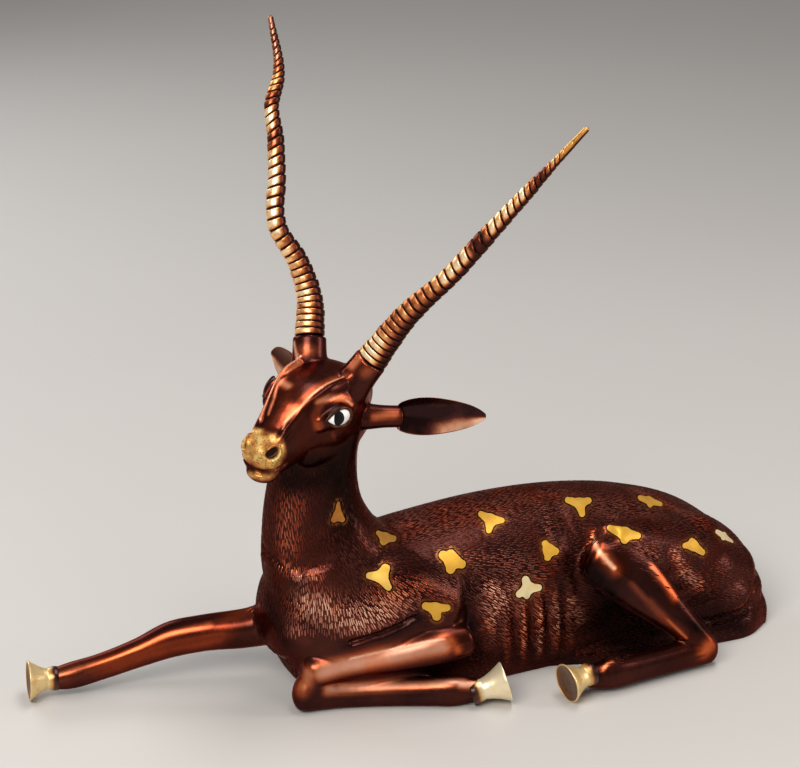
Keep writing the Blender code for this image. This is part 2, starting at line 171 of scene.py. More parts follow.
# %% Helpers for finishes
class Finish:
    """A material with its Principled shader, and short ways to add and join nodes."""

    def __init__(self, name, **constants):
        self.material = bpy.data.materials.new(name)
        self.material.use_nodes = True
        self.tree = self.material.node_tree
        self.shader = self.tree.nodes["Principled BSDF"]
        for socket, value in constants.items():
            self.shader.inputs[socket.replace("_", " ").title()].default_value = value

    def node(self, kind, inputs=(), output=0, **settings):
        """Add a node; inputs pairs a socket's name or number with a value or another socket."""
        made = self.tree.nodes.new("ShaderNode" + kind)
        for name, value in settings.items():
            setattr(made, name, value)
        for socket, value in dict(inputs).items():
            if isinstance(value, bpy.types.NodeSocket):
                self.tree.links.new(value, made.inputs[socket])
            else:
                made.inputs[socket].default_value = value
        return made.outputs[output]

    def math(self, operation, *values, clamp=False):
        """One step of arithmetic on sockets or plain values."""
        return self.node("Math", enumerate(values), operation=operation, use_clamp=clamp)

    def times(self, first, second):
        """One value times another."""
        return self.math("MULTIPLY", first, second)

    def larger(self, first, second):
        """The larger of two values."""
        return self.math("MAXIMUM", first, second)

    def attribute(self, name, output="Fac"):
        """What the mesh keeps for each point under a name."""
        return self.node("Attribute", attribute_name=name, output=output)

    def noise(self, size, detail=3.0, rough=0.55):
        """Soft random pattern whose features are about size metres across."""
        values = {"Vector": self.node("TexCoord", output="Object"), "Scale": 1.0 / size,
                  "Detail": detail, "Roughness": rough}
        return self.node("TexNoise", values, output="Fac")

    def uneven(self, value, pattern, amount):
        """The value plus amount times the pattern's distance from its middle, one half."""
        return self.math("MULTIPLY_ADD", self.math("SUBTRACT", pattern, 0.5), amount, value)

    def mix(self, share, first, second, blend="MIX"):
        """The first colour, turned by a share into the second, or into their product."""
        return self.node("Mix", {0: share, 6: first, 7: second}, data_type="RGBA", blend_type=blend,
                         output=2)

    def spread(self, value, low, high, to_low=0.0, to_high=1.0):
        """The value's range from low to high, stretched to another and held at its ends."""
        limits = {0: value, 1: low, 2: high, 3: to_low, 4: to_high}
        return self.node("MapRange", limits, clamp=True, interpolation_type="SMOOTHSTEP")

    def ramp(self, value, stops):
        """Colour read off a strip of stops, each a share and a colour."""
        made = self.tree.nodes.new("ShaderNodeValToRGB")
        strip = made.color_ramp.elements
        while len(strip) < len(stops):
            strip.new(0.5)
        for mark, (share, colour) in zip(strip, stops):
            mark.position = share
            mark.color = (*colour, 1.0)
        self.tree.links.new(value, made.inputs[0])
        return made.outputs[0]

    def bump(self, height, depth, strength=1.0, under=None):
        """Fine relief: height runs 0 to 1, and depth is its full rise in metres."""
        values = {"Strength": strength, "Distance": depth, "Height": height}
        if under:
            values["Normal"] = under
        return self.node("Bump", values)

    def set(self, **sockets):
        """Join nodes to the shader's sockets, which are named in small letters."""
        for socket, value in sockets.items():
            self.tree.links.new(value, self.shader.inputs[socket.replace("_", " ").title()])


def dress(piece, finish):
    """Give the piece its finish, and set it on the part's one body."""
    piece.data.materials.clear()
    piece.data.materials.append(finish.material)
    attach(piece, "root")


# %% [markdown]
# The figure stands on a plain pale floor. A flat sheet far wider than the view is enough, with a
# faint mottling so that it doesn't look like blank paper.

# %% Floor
FLOOR_HALF = 6.0
sheet_points = [(x, y, 0.0) for x, y in ((-1, -1), (1, -1), (1, 1), (-1, 1))]
floor_mesh = bpy.data.meshes.new("floor")
floor_mesh.from_pydata((np.array(sheet_points) * FLOOR_HALF).tolist(), [], [(0, 1, 2, 3)])
floor = linked("floor", floor_mesh)
floor_finish = Finish("pale_floor", roughness=0.55)
floor_finish.set(base_color=floor_finish.mix(floor_finish.noise(0.6), (0.50, 0.49, 0.48, 1.0),
                                             (0.55, 0.54, 0.53, 1.0)))
floor_mesh.materials.append(floor_finish.material)
print("floor", 2 * FLOOR_HALF, "m wide")

# %% [markdown]
# The body is drawn as a set of lofts: an oval is carried along a path and changes its size on the
# way. Rows give the path's places with the half width across, and the half heights on the two
# sides of the path. A cubic curve through the rows gives as many ovals as the surface needs.


# %% Lofts
SIDE = np.array([0.0, 1.0, 0.0])


def unit(vectors):
    """The vectors at length one."""
    return vectors / np.linalg.norm(vectors, axis=-1, keepdims=True)


def smooth_rows(rows, step):
    """Rows read every step along a cubic curve through the given rows.

    Between two rows the curve is a Hermite cubic: each end's value and slope, weighted by
    (1 + 2s)(1 - s)^2 and s(1 - s)^2 at share s, and the same from the other end.
    """
    rows = np.asarray(rows, float)
    gaps = np.linalg.norm(np.diff(rows[:, :3], axis=0), axis=1)
    marks = np.concatenate([[0.0], np.cumsum(gaps)])
    slopes = np.gradient(rows, marks, axis=0)
    reads = np.linspace(0.0, marks[-1], max(3, int(marks[-1] / step) + 1))
    before = np.clip(np.searchsorted(marks, reads, side="right") - 1, 0, len(gaps) - 1)
    gap = gaps[before][:, None]
    share = (reads - marks[before])[:, None] / gap
    rest = 1.0 - share
    start = (1.0 + 2.0 * share) * rest**2 * rows[before] + share * rest**2 * gap * slopes[before]
    end = (3.0 - 2.0 * share) * share**2 * rows[before + 1]
    return start + end - share**2 * rest * gap * slopes[before + 1]


def close_rings(rings, poles):
    """Points, quads and triangles of a closed skin through rings of points and two poles."""
    count, around = rings.shape[:2]
    index = np.arange(count * around).reshape(count, around)
    turned = np.roll(index, -1, axis=1)
    quads = np.stack([index[:-1], turned[:-1], turned[1:], index[1:]], axis=-1).reshape(-1, 4)
    foot = np.stack([np.full(around, count * around), turned[0], index[0]], axis=-1)
    head = np.stack([np.full(around, count * around + 1), index[-1], turned[-1]], axis=-1)
    return np.vstack([rings.reshape(-1, 3), poles]), quads, np.vstack([foot, head])


def loft(rows, side=SIDE, power=2.2, ends=(8.0, 8.0), around=44, step=2.5):
    """Closed skin of superellipse ovals along a smooth path, with rounded ends.

    An oval's point at angle a is (w |cos a|^(2/p), h |sin a|^(2/p)) with the signs kept, for
    half width w, half height h and power p. The ends shrink as the cosine of a quarter turn.
    """
    rows = smooth_rows(rows, step)
    along = unit(np.gradient(rows[:, :3], axis=0))
    across = unit(side - (along @ side)[:, None] * along)
    above = np.cross(along, across)
    turn = np.linspace(0.0, math.pi / 2.0, 8)[1:-1]
    first = rows[0, :3] - along[0] * ends[0] * np.sin(turn[::-1, None])
    last = rows[-1, :3] + along[-1] * ends[1] * np.sin(turn[:, None])
    shrink = np.cos(turn)[:, None]
    centre = np.vstack([first, rows[:, :3], last])
    halves = np.vstack([rows[0, 3:6] * shrink[::-1], rows[:, 3:6], rows[-1, 3:6] * shrink])
    pad = ((len(turn), len(turn)), (0, 0))
    across, above = np.pad(across, pad, mode="edge"), np.pad(above, pad, mode="edge")
    angle = np.arange(around) * math.tau / around
    wide = np.sign(np.cos(angle)) * np.abs(np.cos(angle)) ** (2.0 / power)
    tall = np.sign(np.sin(angle)) * np.abs(np.sin(angle)) ** (2.0 / power)
    height = np.where(tall > 0.0, halves[:, 1:2], halves[:, 2:3]) * tall
    rings = centre[:, None] + across[:, None] * (halves[:, :1] * wide)[..., None]
    rings = rings + above[:, None] * height[..., None]
    poles = rows[0, :3] - along[0] * ends[0], rows[-1, :3] + along[-1] * ends[1]
    return close_rings(rings, poles)


def ball(centre, halves, axes, around=28):
    """Closed ellipsoid: centre plus the sphere's point times three half lengths on three axes."""
    rise = np.linspace(-math.pi / 2.0, math.pi / 2.0, around // 2 + 1)[1:-1, None]
    angle = np.arange(around) * math.tau / around
    local = np.stack([np.cos(rise) * np.cos(angle), np.cos(rise) * np.sin(angle),
                      np.sin(rise) * np.ones(around)], axis=-1) * halves
    pole = np.asarray(axes)[2] * halves[2]
    return close_rings(centre + local @ np.asarray(axes), (centre - pole, centre + pole))


def turn_outward(points, quads, triangles):
    """The faces, turned round if the volume they enclose comes out negative."""
    corners = np.vstack([quads[:, [0, 1, 2]], quads[:, [0, 2, 3]], triangles])
    a, b, c = (points[corners[:, k]] for k in range(3))
    if np.einsum("ij,ij->", a, np.cross(b, c)) < 0.0:
        return quads[:, ::-1], triangles[:, ::-1]
    return quads, triangles


def new_piece(name, skins):
    """One mesh object at the origin that holds closed skins drawn in millimetres."""
    points, faces, start = [], [], 0
    for skin, quads, triangles in skins:
        quads, triangles = turn_outward(skin, quads, triangles)
        points.append(skin)
        faces += (quads + start).tolist() + (triangles + start).tolist()
        start += len(skin)
    mesh = bpy.data.meshes.new(name)
    mesh.from_pydata((np.vstack(points) * MM).tolist(), [], faces)
    mesh.shade_smooth()
    return linked(name, mesh)


# %% [markdown]
# The head is turned to the animal's left and tilted a little, so it is drawn on its own three
# axes: forward, left and up. Rows given on them are then moved to where the head is, and the same
# rows with the left axis reversed give the other side of the face.


# %% The head's axes
HEAD_TURN = math.radians(30.0)
HEAD_ROLL = math.radians(8.0)
HEAD_ORIGIN = np.array([-46.2, -6.1, 234.4])
LEVEL = np.array([math.sin(HEAD_TURN), -math.cos(HEAD_TURN), 0.0])
UPRIGHT = np.array([0.0, 0.0, 1.0])
FORWARD = np.array([-math.cos(HEAD_TURN), -math.sin(HEAD_TURN), 0.0])
LEFT = LEVEL * math.cos(HEAD_ROLL) - UPRIGHT * math.sin(HEAD_ROLL)
UP = UPRIGHT * math.cos(HEAD_ROLL) + LEVEL * math.sin(HEAD_ROLL)


def in_head(rows, flip=1.0):
    """Rows of forward, left, up and sizes, put where the head is; flip mirrors them."""
    rows = np.asarray(rows, float)
    places = HEAD_ORIGIN + rows[:, :1] * FORWARD + flip * rows[:, 1:2] * LEFT + rows[:, 2:3] * UP
    return np.hstack([places, rows[:, 3:]])


# %% [markdown]
# Trunk and neck are few and large forms. Belly and haunches rest on the floor, so their ovals
# reach below it and are pressed flat there afterwards, as the underside of the casting is ground.


# %% Trunk and neck
def trunk_skins():
    """Belly, chest, shoulders, the two halves of the croup, the tail and the neck."""
    trunk = [(-83, 0, 62, 32, 28, 34), (-64, 0, 58, 45, 42, 56), (-30, 0, 56, 53, 43, 76),
             (15, 0, 56, 55, 48, 84), (65, 0, 56, 54, 52, 84), (115, 0, 54, 53, 52, 80),
             (165, 0, 48, 53, 48, 74), (205, 0, 41, 52, 39, 66), (232, 0, 34, 46, 27, 54)]
    croup = [(185, -18, 44, 33, 36, 38), (215, -22, 37, 33, 31, 32), (236, -22, 32, 27, 23, 25)]
    far_croup = [(x, -y, z - 5, a, b, c) for x, y, z, a, b, c in croup]
    haunch_foot = [(85, 0, 2, 42, 14, 20), (130, 0, 4, 56, 16, 20), (205, 0, 5, 62, 17, 20),
                   (236, 0, 5, 60, 22, 20), (251, 0, 5, 50, 22, 20)]
    haunch_side = [(150, 0, 24, 48, 18, 26), (180, 0, 26, 55, 22, 28), (210, 0, 27, 59, 24, 28),
                   (236, 0, 25, 55, 22, 26), (247, 0, 22, 48, 18, 24)]
    tail = [(234, 0, 55, 8, 7, 7), (248, 0, 45, 10, 7, 7), (256, 0, 29, 11, 6, 6),
            (257, 0, 10, 8, 5, 5)]
    neck = [(-38, 0, 52, 50, 56, 50), (-46, 0, 78, 45, 50, 45), (-56, -1, 102, 37, 43, 36),
            (-62, -2, 126, 29, 35, 30), (-63, -4, 150, 25, 30, 26), (-60, -7, 175, 23, 27, 23),
            (-53, -8, 198, 21, 22, 22)]
    return [loft(trunk, power=2.3, ends=(16, 22), around=72), loft(croup, ends=(20, 16)),
            loft(far_croup, ends=(20, 16)), loft(haunch_foot, power=2.6, ends=(16, 12), around=60),
            loft(haunch_side, ends=(14, 12), around=60), loft(tail, power=2.4, ends=(4, 3)),
            loft(neck, ends=(10, 6), around=60)]


# %% [markdown]
# The legs are folded under the body, except the right foreleg, which is stretched forward. Each
# limb part is a loft of its own, thick at the joint and slim in the middle, and neighbours overlap
# so that they fuse into one skin later.


# %% Legs
def leg_skins():
    """Upper arms, forearms, thighs, shins and cannons of the four legs."""
    limbs = [
        # Left foreleg, folded: upper arm, forearm and cannon
        [(-50, -12, 84, 24, 26, 28), (-18, -31, 72, 24, 26, 28), (12, -42, 56, 18, 20, 20)],
        [(-78, -33, 28, 10, 11, 10), (-55, -39, 32, 9.5, 10, 9.5), (-25, -49, 36, 10.5, 10.5, 10),
         (2, -57, 41, 11, 12, 12), (16, -59, 43, 10, 10, 11)],
        [(-84, -31, 14, 10, 13, 13), (-66, -34, 10, 8.6, 9.4, 9.4), (-30, -47, 9.2, 7.8, 9, 9),
         (-6, -58, 9.6, 8, 9.4, 9.4), (6, -63.5, 10, 8.2, 10, 10), (18, -68.5, 11, 6.4, 7, 7)],
        # Right foreleg, stretched forward
        [(-64, 16, 43, 14, 15, 17), (-100, 26, 37, 12.5, 13, 13), (-128, 35, 35, 11, 12, 12),
         (-146, 41, 32, 10.5, 12, 12), (-168, 46, 24.5, 8.6, 9.6, 9.6),
         (-195, 51, 17, 7.8, 8.6, 8.6), (-215, 54, 13.5, 8, 8.4, 8.4), (-225, 55, 13, 6.6, 6.8, 6.8)],
        # Left hind leg: thigh, shin and cannon
        [(232, -8, 36, 16, 18, 18), (205, -24, 51, 25, 27, 30), (172, -39, 63, 24, 24, 28),
         (142, -50, 72, 20, 23.5, 27), (122, -54, 77, 16, 22, 24)],
        [(112, -57, 80, 12, 15, 15), (121, -61, 75, 13.5, 21, 18), (134, -67, 62, 12.5, 23, 17),
         (151, -74.5, 46, 10.5, 17, 13.5), (168, -81, 29, 8.5, 11.5, 10),
         (180, -84, 16, 8.5, 9.5, 9.5)],
        [(183, -84, 12, 9, 10.5, 11), (160, -86, 12, 8.5, 9.6, 9.6),
         (125, -88.5, 12, 8.5, 9.4, 9.4), (106, -89, 12.4, 9, 10, 10), (94, -89, 12.6, 7, 7.4, 7.4)],
        # Right hind leg, folded the same way and plainer
        [(232, 8, 30, 16, 18, 18), (205, 24, 42, 25, 28, 30), (172, 40, 50, 22, 26, 28),
         (142, 50, 54, 17, 22, 24)],
        [(130, 56, 54, 12, 16, 16), (152, 68, 40, 10, 13, 13), (178, 82, 16, 8.5, 9.5, 9.5)],
        [(183, 83, 12, 9, 10.5, 11), (150, 86, 12, 8.5, 9.5, 9.5), (108, 88, 12.4, 8, 8.6, 8.6)],
    ]
    return [loft(rows, ends=(8, 7)) for rows in limbs]


# %% [markdown]
# The skull tapers to a narrow face with a sharp ridge from each horn down to the nose. Cheeks,
# eye sockets, the two wings of the nose and the chin are forms of their own on it. Each ear has a
# round stalk that belongs to the casting. Its thin cupped leaf comes later, as a skin of its own.

# %% Head and ears
EAR_ROOT = np.array([-4.0, 22.0, -41.0])
EAR_TIPS = {1.0: (-58.0, 78.0, -38.0), -1.0: (-45.0, 84.0, -48.0)}


def head_skins():
    """Skull and muzzle, face ridges, sockets, cheeks, wings of the nose and chin."""
    skull = [(-16, 0, -32, 17, 15, 17), (0, 0, -33, 24, 24, 28), (20, 0, -35, 26, 27, 28),
             (37, 0, -38, 22.5, 28, 25), (48, 0, -43, 17, 24, 21), (59, 0, -48, 14, 18, 17),
             (69, 0, -51, 13.5, 15, 14), (75, 0, -53, 12.5, 12, 11)]
    ridge = [(12, 17.5, -13, 4, 4, 5), (33, 16.5, -13.5, 3.4, 3.4, 5), (46, 13.3, -19, 2.9, 2.9, 4),
             (58, 10.3, -28.5, 2.6, 2.6, 3.2), (68, 9, -37.5, 2.6, 2.4, 3)]
    orbit = [(20, 17, -28, 9, 9, 9), (31, 18, -28, 9.5, 10, 10), (42, 16, -30, 8, 8, 8)]
    cheek = [(-8, 10, -48, 11, 13, 13), (10, 13, -53, 12, 12, 12), (38, 9, -56, 10, 9, 10)]
    skins = [loft(in_head(skull), side=LEFT, power=2.5, ends=(8, 5), step=1.5)]
    for flip in (1.0, -1.0):
        skins.append(loft(in_head(ridge, flip), side=LEFT, ends=(4, 3), around=28, step=1.5))
        skins.append(loft(in_head(orbit, flip), side=LEFT, ends=(6, 6), step=1.5))
        skins.append(loft(in_head(cheek, flip), side=LEFT, ends=(8, 8)))
        wing = in_head([(73.5, 8.5, -45)], flip)[0]
        skins.append(ball(wing, (6.5, 6.0, 7.0), (FORWARD, LEFT, UP)))
    chin = in_head([(70, 0, -62)])[0]
    skins.append(ball(chin, (9.5, 10.5, 6.5), (FORWARD, LEFT, UP)))
    return skins


def ear_skins():
    """Stalks of the two ears, from the skull to a rounded end inside the leaf."""
    stem = [(0.0, 8.5, 8.5, 8.5), (0.16, 7.2, 7.2, 7.2), (0.28, 7.0, 7.0, 7.0)]
    skins = []
    for flip, tip in EAR_TIPS.items():
        reach = np.array(tip) - EAR_ROOT
        rows = in_head([(*(EAR_ROOT + reach * share), *sizes) for share, *sizes in stem], flip)
        skins.append(loft(rows, side=UP * flip, power=2.0, ends=(5, 3), step=1.5))
    return skins


# %% [markdown]
# Each horn stands on a short stalk of the casting. Its middle line is the same curve that the
# horn follows, carried on below the seat.


# %% Horn lines and stalks
HORN_PATHS = {
    "left": [(-34, -27, 232), (-16, -37, 260), (9, -54, 291), (21, -64, 310), (47, -81, 347),
             (73, -100, 385)],
    "right": [(-58, 15, 237), (-53, 26, 258), (-56, 36, 279), (-66, 46, 302), (-60, 60, 331),
              (-56, 71, 353), (-55, 79, 369), (-46, 88, 388), (-44, 105, 421)],
}
HORN_BASE = 0.0205 / MM / 2.0
HORN_TIP = 0.0036 / MM / 2.0


def horn_line(side, step=0.5):
    """Points along a horn's middle line, and the line's direction at each."""
    line = smooth_rows(HORN_PATHS[side], step)
    return line, unit(np.gradient(line, axis=0))


def stalk_skins(side):
    """Stalk that carries a horn: a flare into the skull, then a straight end under the seat."""
    line, along = horn_line(side)
    rows = [(*(line[0] + along[0] * below_seat), *(3 * [HORN_BASE * grow]))
            for below_seat, grow in ((-24, 1.25), (-12, 1.08), (-3, 1.04), (-0.9, 1.04))]
    return [loft(rows, power=2.0, ends=(4, 0.6), step=1.5)]


# %% [markdown]
# A voxel remesh fuses the lofts into one closed skin, which is how lumps of wax join before they
# are cast. It leaves steps of about a millimetre, so the skin is smoothed, and where large forms
# meet on the trunk it is smoothed more, through a vertex group that fades at its border.


# %% Fuse the body
BODY_GRAIN = 0.95
BODY_TRIANGLES = 196_000


def mesh_points(mesh):
    """The mesh's points in drawn millimetres."""
    flat = np.empty(len(mesh.vertices) * 3, np.float32)
    mesh.vertices.foreach_get("co", flat)
    return flat.reshape(-1, 3).astype(float) / MM


def mesh_normals(mesh):
    """The mesh's smooth outward directions, one for each point."""
    flat = np.empty(len(mesh.vertices) * 3, np.float32)
    mesh.vertex_normals.foreach_get("vector", flat)
    return flat.reshape(-1, 3).astype(float)


def give(mesh, name, values, kind="FLOAT"):
    """Keep a value for each of the mesh's points under a name."""
    made = mesh.attributes.new(name, kind, "POINT")
    made.data.foreach_set("value" if kind == "FLOAT" else "vector",
                          np.asarray(values, np.float32).ravel())


def triangle_count(mesh):
    """How many triangles the mesh's faces come to."""
    return sum(len(face.vertices) - 2 for face in mesh.polygons)


def put_points(mesh, points):
    """Move the mesh's points to places in drawn millimetres."""
    mesh.vertices.foreach_set("co", (points * MM).astype(np.float32).ravel())
    mesh.update()


def settle(made):
    """Turn the object's modifiers into its own mesh."""
    mesh = bpy.data.meshes.new_from_object(
        made.evaluated_get(bpy.context.evaluated_depsgraph_get()))
    made.modifiers.clear()
    made.data = mesh


def fade(values, low, high, soft):
    """One between low and high, falling to zero over soft outside them."""
    rise = np.clip((values - low) / soft + 1.0, 0.0, 1.0)
    fall = np.clip((high - values) / soft + 1.0, 0.0, 1.0)
    return rise * fall


def weigh(made, name, weights):
    """Vertex group whose weights are rounded to tenths, so that it is filled in few calls."""
    group = made.vertex_groups.new(name=name)
    steps = np.round(weights * 10).astype(int)
    for tenth in range(1, 11):
        group.add(np.flatnonzero(steps == tenth).tolist(), tenth / 10, "REPLACE")
    return name


body = new_piece("deer_body", trunk_skins() + leg_skins() + head_skins() + ear_skins()
                 + stalk_skins("left") + stalk_skins("right"))
fuse = body.modifiers.new("fuse", "REMESH")
fuse.mode = "VOXEL"
fuse.voxel_size = BODY_GRAIN * MM
soften = body.modifiers.new("soften", "SMOOTH")
soften.factor = 0.5
soften.iterations = 6
settle(body)
print("fused skin:", len(body.data.polygons), "faces")

# %% [markdown]
# Fusing can leave closed skins round pockets inside the body. Parting the mesh into its loose
# islands and keeping the largest removes them.

# %% Keep the outer skin
bpy.ops.object.select_all(action="DESELECT")
body.select_set(True)
bpy.context.view_layer.objects.active = body
bpy.ops.mesh.separate(type="LOOSE")
islands = sorted(bpy.context.selected_objects, key=lambda island: len(island.data.vertices))
for pocket in islands[:-1]:
    bpy.data.objects.remove(pocket)
body = islands[-1]
body.name = "deer_body"

x, y, z = mesh_points(body.data).T
on_trunk = fade(x, -100, 268, 8) * fade(np.abs(y), 0, 56, 8) * fade(z, 22, 160, 10)
under_jaw = fade(z, 166, 179, 5) * fade(x, -95, -40, 5)
on_trunk = np.maximum(on_trunk, 0.6 * under_jaw)
blend = body.modifiers.new("blend", "SMOOTH")
blend.vertex_group = weigh(body, "trunk", on_trunk)
blend.factor = 0.5
blend.iterations = 50
settle(body)
print("outer skin:", len(body.data.polygons), "faces,", len(islands) - 1, "pockets removed")

# %% [markdown]
# Carving comes after fusing, as a sculptor cuts into the joined wax. Each stroke of the tool is a
# path on the skin with a reach and a height, and moves the points near it along their outward
# direction by a bell curve of their distance. Ribs are a row of waves, and nostrils are dimples.
# A path may be given in the space of the figure or as pixels of the picture, and is first laid on
# the skin, so that its whole length bites equally deep.

# %% Carving
RIBS_CENTRE = (75.0, 38.0)
RIBS_REACH = (36.0, 32.0)
RIB_PITCH = 12.5
RIB_RELIEF = 1.9
RIB_LEAN = 0.1
FLANK_FROM = 38.0

MOUTH_SEEN = [(286, 464), (281, 468), (274, 470.5), (265, 471), (256, 470), (249, 469)]
BROW = [(14, 19, -8.5), (32.4, 17.1, -8.8), (45, 15, -14), (52, 12.5, -19), (58, 10.8, -25),
        (65, 9.4, -31)]
LID_CREASE = [(46, 20, -26), (41, 23, -20), (31, 25, -17), (21, 26, -20), (15, 27, -27)]


def skin_tree(mesh):
    """Search tree over a mesh's faces, in drawn millimetres."""
    return BVHTree.FromPolygons(mesh_points(mesh).tolist(),
                                [list(face.vertices) for face in mesh.polygons])


def laid(tree, path, pieces=4):
    """The path cut finer and laid on the skin in the tree; a path of pixels is found by sight."""
    path = np.asarray(path, float)
    share = np.arange(pieces * (len(path) - 1) + 1) / pieces
    fine = np.stack([np.interp(share, np.arange(len(path)), c) for c in path.T], axis=1)
    if path.shape[1] == 2:
        return seen(tree, fine)
    return np.array([tree.find_nearest(Vector(place))[0] for place in fine])


def other_side(places):
    """The same places on the other half of the face."""
    return in_head((places - HEAD_ORIGIN) @ np.stack([FORWARD, LEFT, UP]).T, -1.0)


def closeness(points, path, reach, power=2.0):
    """Bell curve of each point's distance to the path: exp(-(distance / reach)^power)."""
    low, high = path.min(axis=0) - 3.0 * reach, path.max(axis=0) + 3.0 * reach
    near = np.flatnonzero(((points > low) & (points < high)).all(axis=1))
    nearest = np.full(len(points), np.inf)
    for start, end in zip(path[:-1], path[1:]):
        step = end - start
        share = np.clip((points[near] - start) @ step / max(step @ step, 1e-9), 0.0, 1.0)
        gap = np.linalg.norm(points[near] - start - share[:, None] * step, axis=1)
        nearest[near] = np.minimum(nearest[near], gap)
    return np.exp(-(nearest / reach) ** power)


def rib_wave(points):
    """Height of the rib folds, from -1 to 1: sine along the body inside an oval on each flank."""
    x, y, z = points.T
    along = np.clip(1.0 - ((x - RIBS_CENTRE[0]) / RIBS_REACH[0]) ** 2, 0.0, 1.0)
    rising = np.clip(1.0 - ((z - RIBS_CENTRE[1]) / RIBS_REACH[1]) ** 2, 0.0, 1.0)
    wave = along * rising * np.sin((x + RIB_LEAN * z) * math.tau / RIB_PITCH)
    return np.where(np.abs(y) > FLANK_FROM, wave, 0.0)


points, normals = mesh_points(body.data), mesh_normals(body.data)
before = skin_tree(body.data)
mouth = laid(before, MOUTH_SEEN)
mouth = np.vstack([mouth, other_side(mouth)[::-1]])
TOOL_MARKS = [
    # Path, reach and height: the mouth, the edges of the face and the creases over the eyes
    (mouth, 0.9, -1.6),
    (in_head(BROW), 1.6, 0.7),
    (in_head(BROW, -1.0), 1.6, 0.7),
    (in_head(LID_CREASE), 1.2, -0.5),
    (in_head(LID_CREASE, -1.0), 1.2, -0.5),
    # The fold where the neck meets the chest
    ([(-98, 6, 103), (-96, -12, 101), (-86, -29, 98), (-68, -38, 104)], 3.0, -1.4),
    ([(-99, 6, 97), (-97, -12, 95), (-87, -29, 92), (-69, -40, 98)], 3.5, 1.0),
    # Slit between the chest and the folded arm, in pixels
    ([(352, 643), (380, 635), (400, 626), (415, 618)], 1.8, -3.4),
    # Elbow, flank and thigh creases
    ([(22, -52, 82), (23, -56, 66), (23, -58, 48)], 5.0, -3.2),
    ([(106, 2, 107), (102, -30, 100), (99, -49, 80), (101, -54, 62)], 5.5, -1.2),
    ([(168, -70, 62), (176, -78, 38)], 4.5, -2.4),
    ([(118, -76, 78), (134, -81, 64), (158, -88, 33), (168, -91, 22)], 2.5, 0.8),
    # Crease between the haunch and the tail, in pixels
    ([(757, 579), (752, 598), (743, 612), (728, 619), (712, 622)], 2.6, -1.6),
    # Tendons along the stretched foreleg and the cannons
    ([(-70, -46, 9), (-40, -56, 9), (-8, -68, 9)], 2.0, -0.6),
    ([(-120, 23, 36), (-160, 34, 28), (-205, 44, 17)], 2.4, -0.7),
]

points[:, 1] += np.sign(points[:, 1]) * RIB_RELIEF * rib_wave(points)
for path, reach, height in TOOL_MARKS:
    points += normals * (height * closeness(points, laid(before, path), reach))[:, None]

NOSTRIL = (76.8, 11.4, -43.2)
NOSTRIL_HALVES = (5.6, 3.7)
NOSTRIL_DEPTH = 4.6


def dimple(points, centre, axes, halves, depth):
    """Press a cup into the skin: inside the oval, points sink by depth times 1 - radius^4.

    The second array says how deep in the cup each point lies, from zero outside to one.
    """
    local = (points - centre) @ np.asarray(axes).T
    radius = np.sqrt((local[:, 0] / halves[0]) ** 2 + (local[:, 1] / halves[1]) ** 2)
    inside = (radius < 1.0) & (np.abs(local[:, 2]) < depth * 2.5)
    cup = np.where(inside, 1.0 - radius**4, 0.0)
    return points - (depth * cup)[:, None] * np.asarray(axes)[2], cup


# How far into each nostril a point lies, used for painted shade inside it
nostril_shade = np.zeros(len(points))
for flip in (1.0, -1.0):
    outward = unit(0.62 * FORWARD + flip * 0.74 * LEFT + 0.22 * UP)
    tilt = unit(FORWARD * -0.59 + LEFT * flip * 0.42 + UP * 0.58)
    along_slit = unit(tilt - outward * (tilt @ outward))
    axes = (along_slit, np.cross(outward, along_slit), outward)
    points, cup = dimple(points, in_head([NOSTRIL], flip)[0], axes, NOSTRIL_HALVES, NOSTRIL_DEPTH)
    nostril_shade = np.maximum(nostril_shade, cup)

points[:, 2] = np.maximum(points[:, 2], 0.0)
put_points(body.data, points)
give(body.data, "nostril_shade", nostril_shade)
skin = skin_tree(body.data)
print("carved body:", len(points), "points")
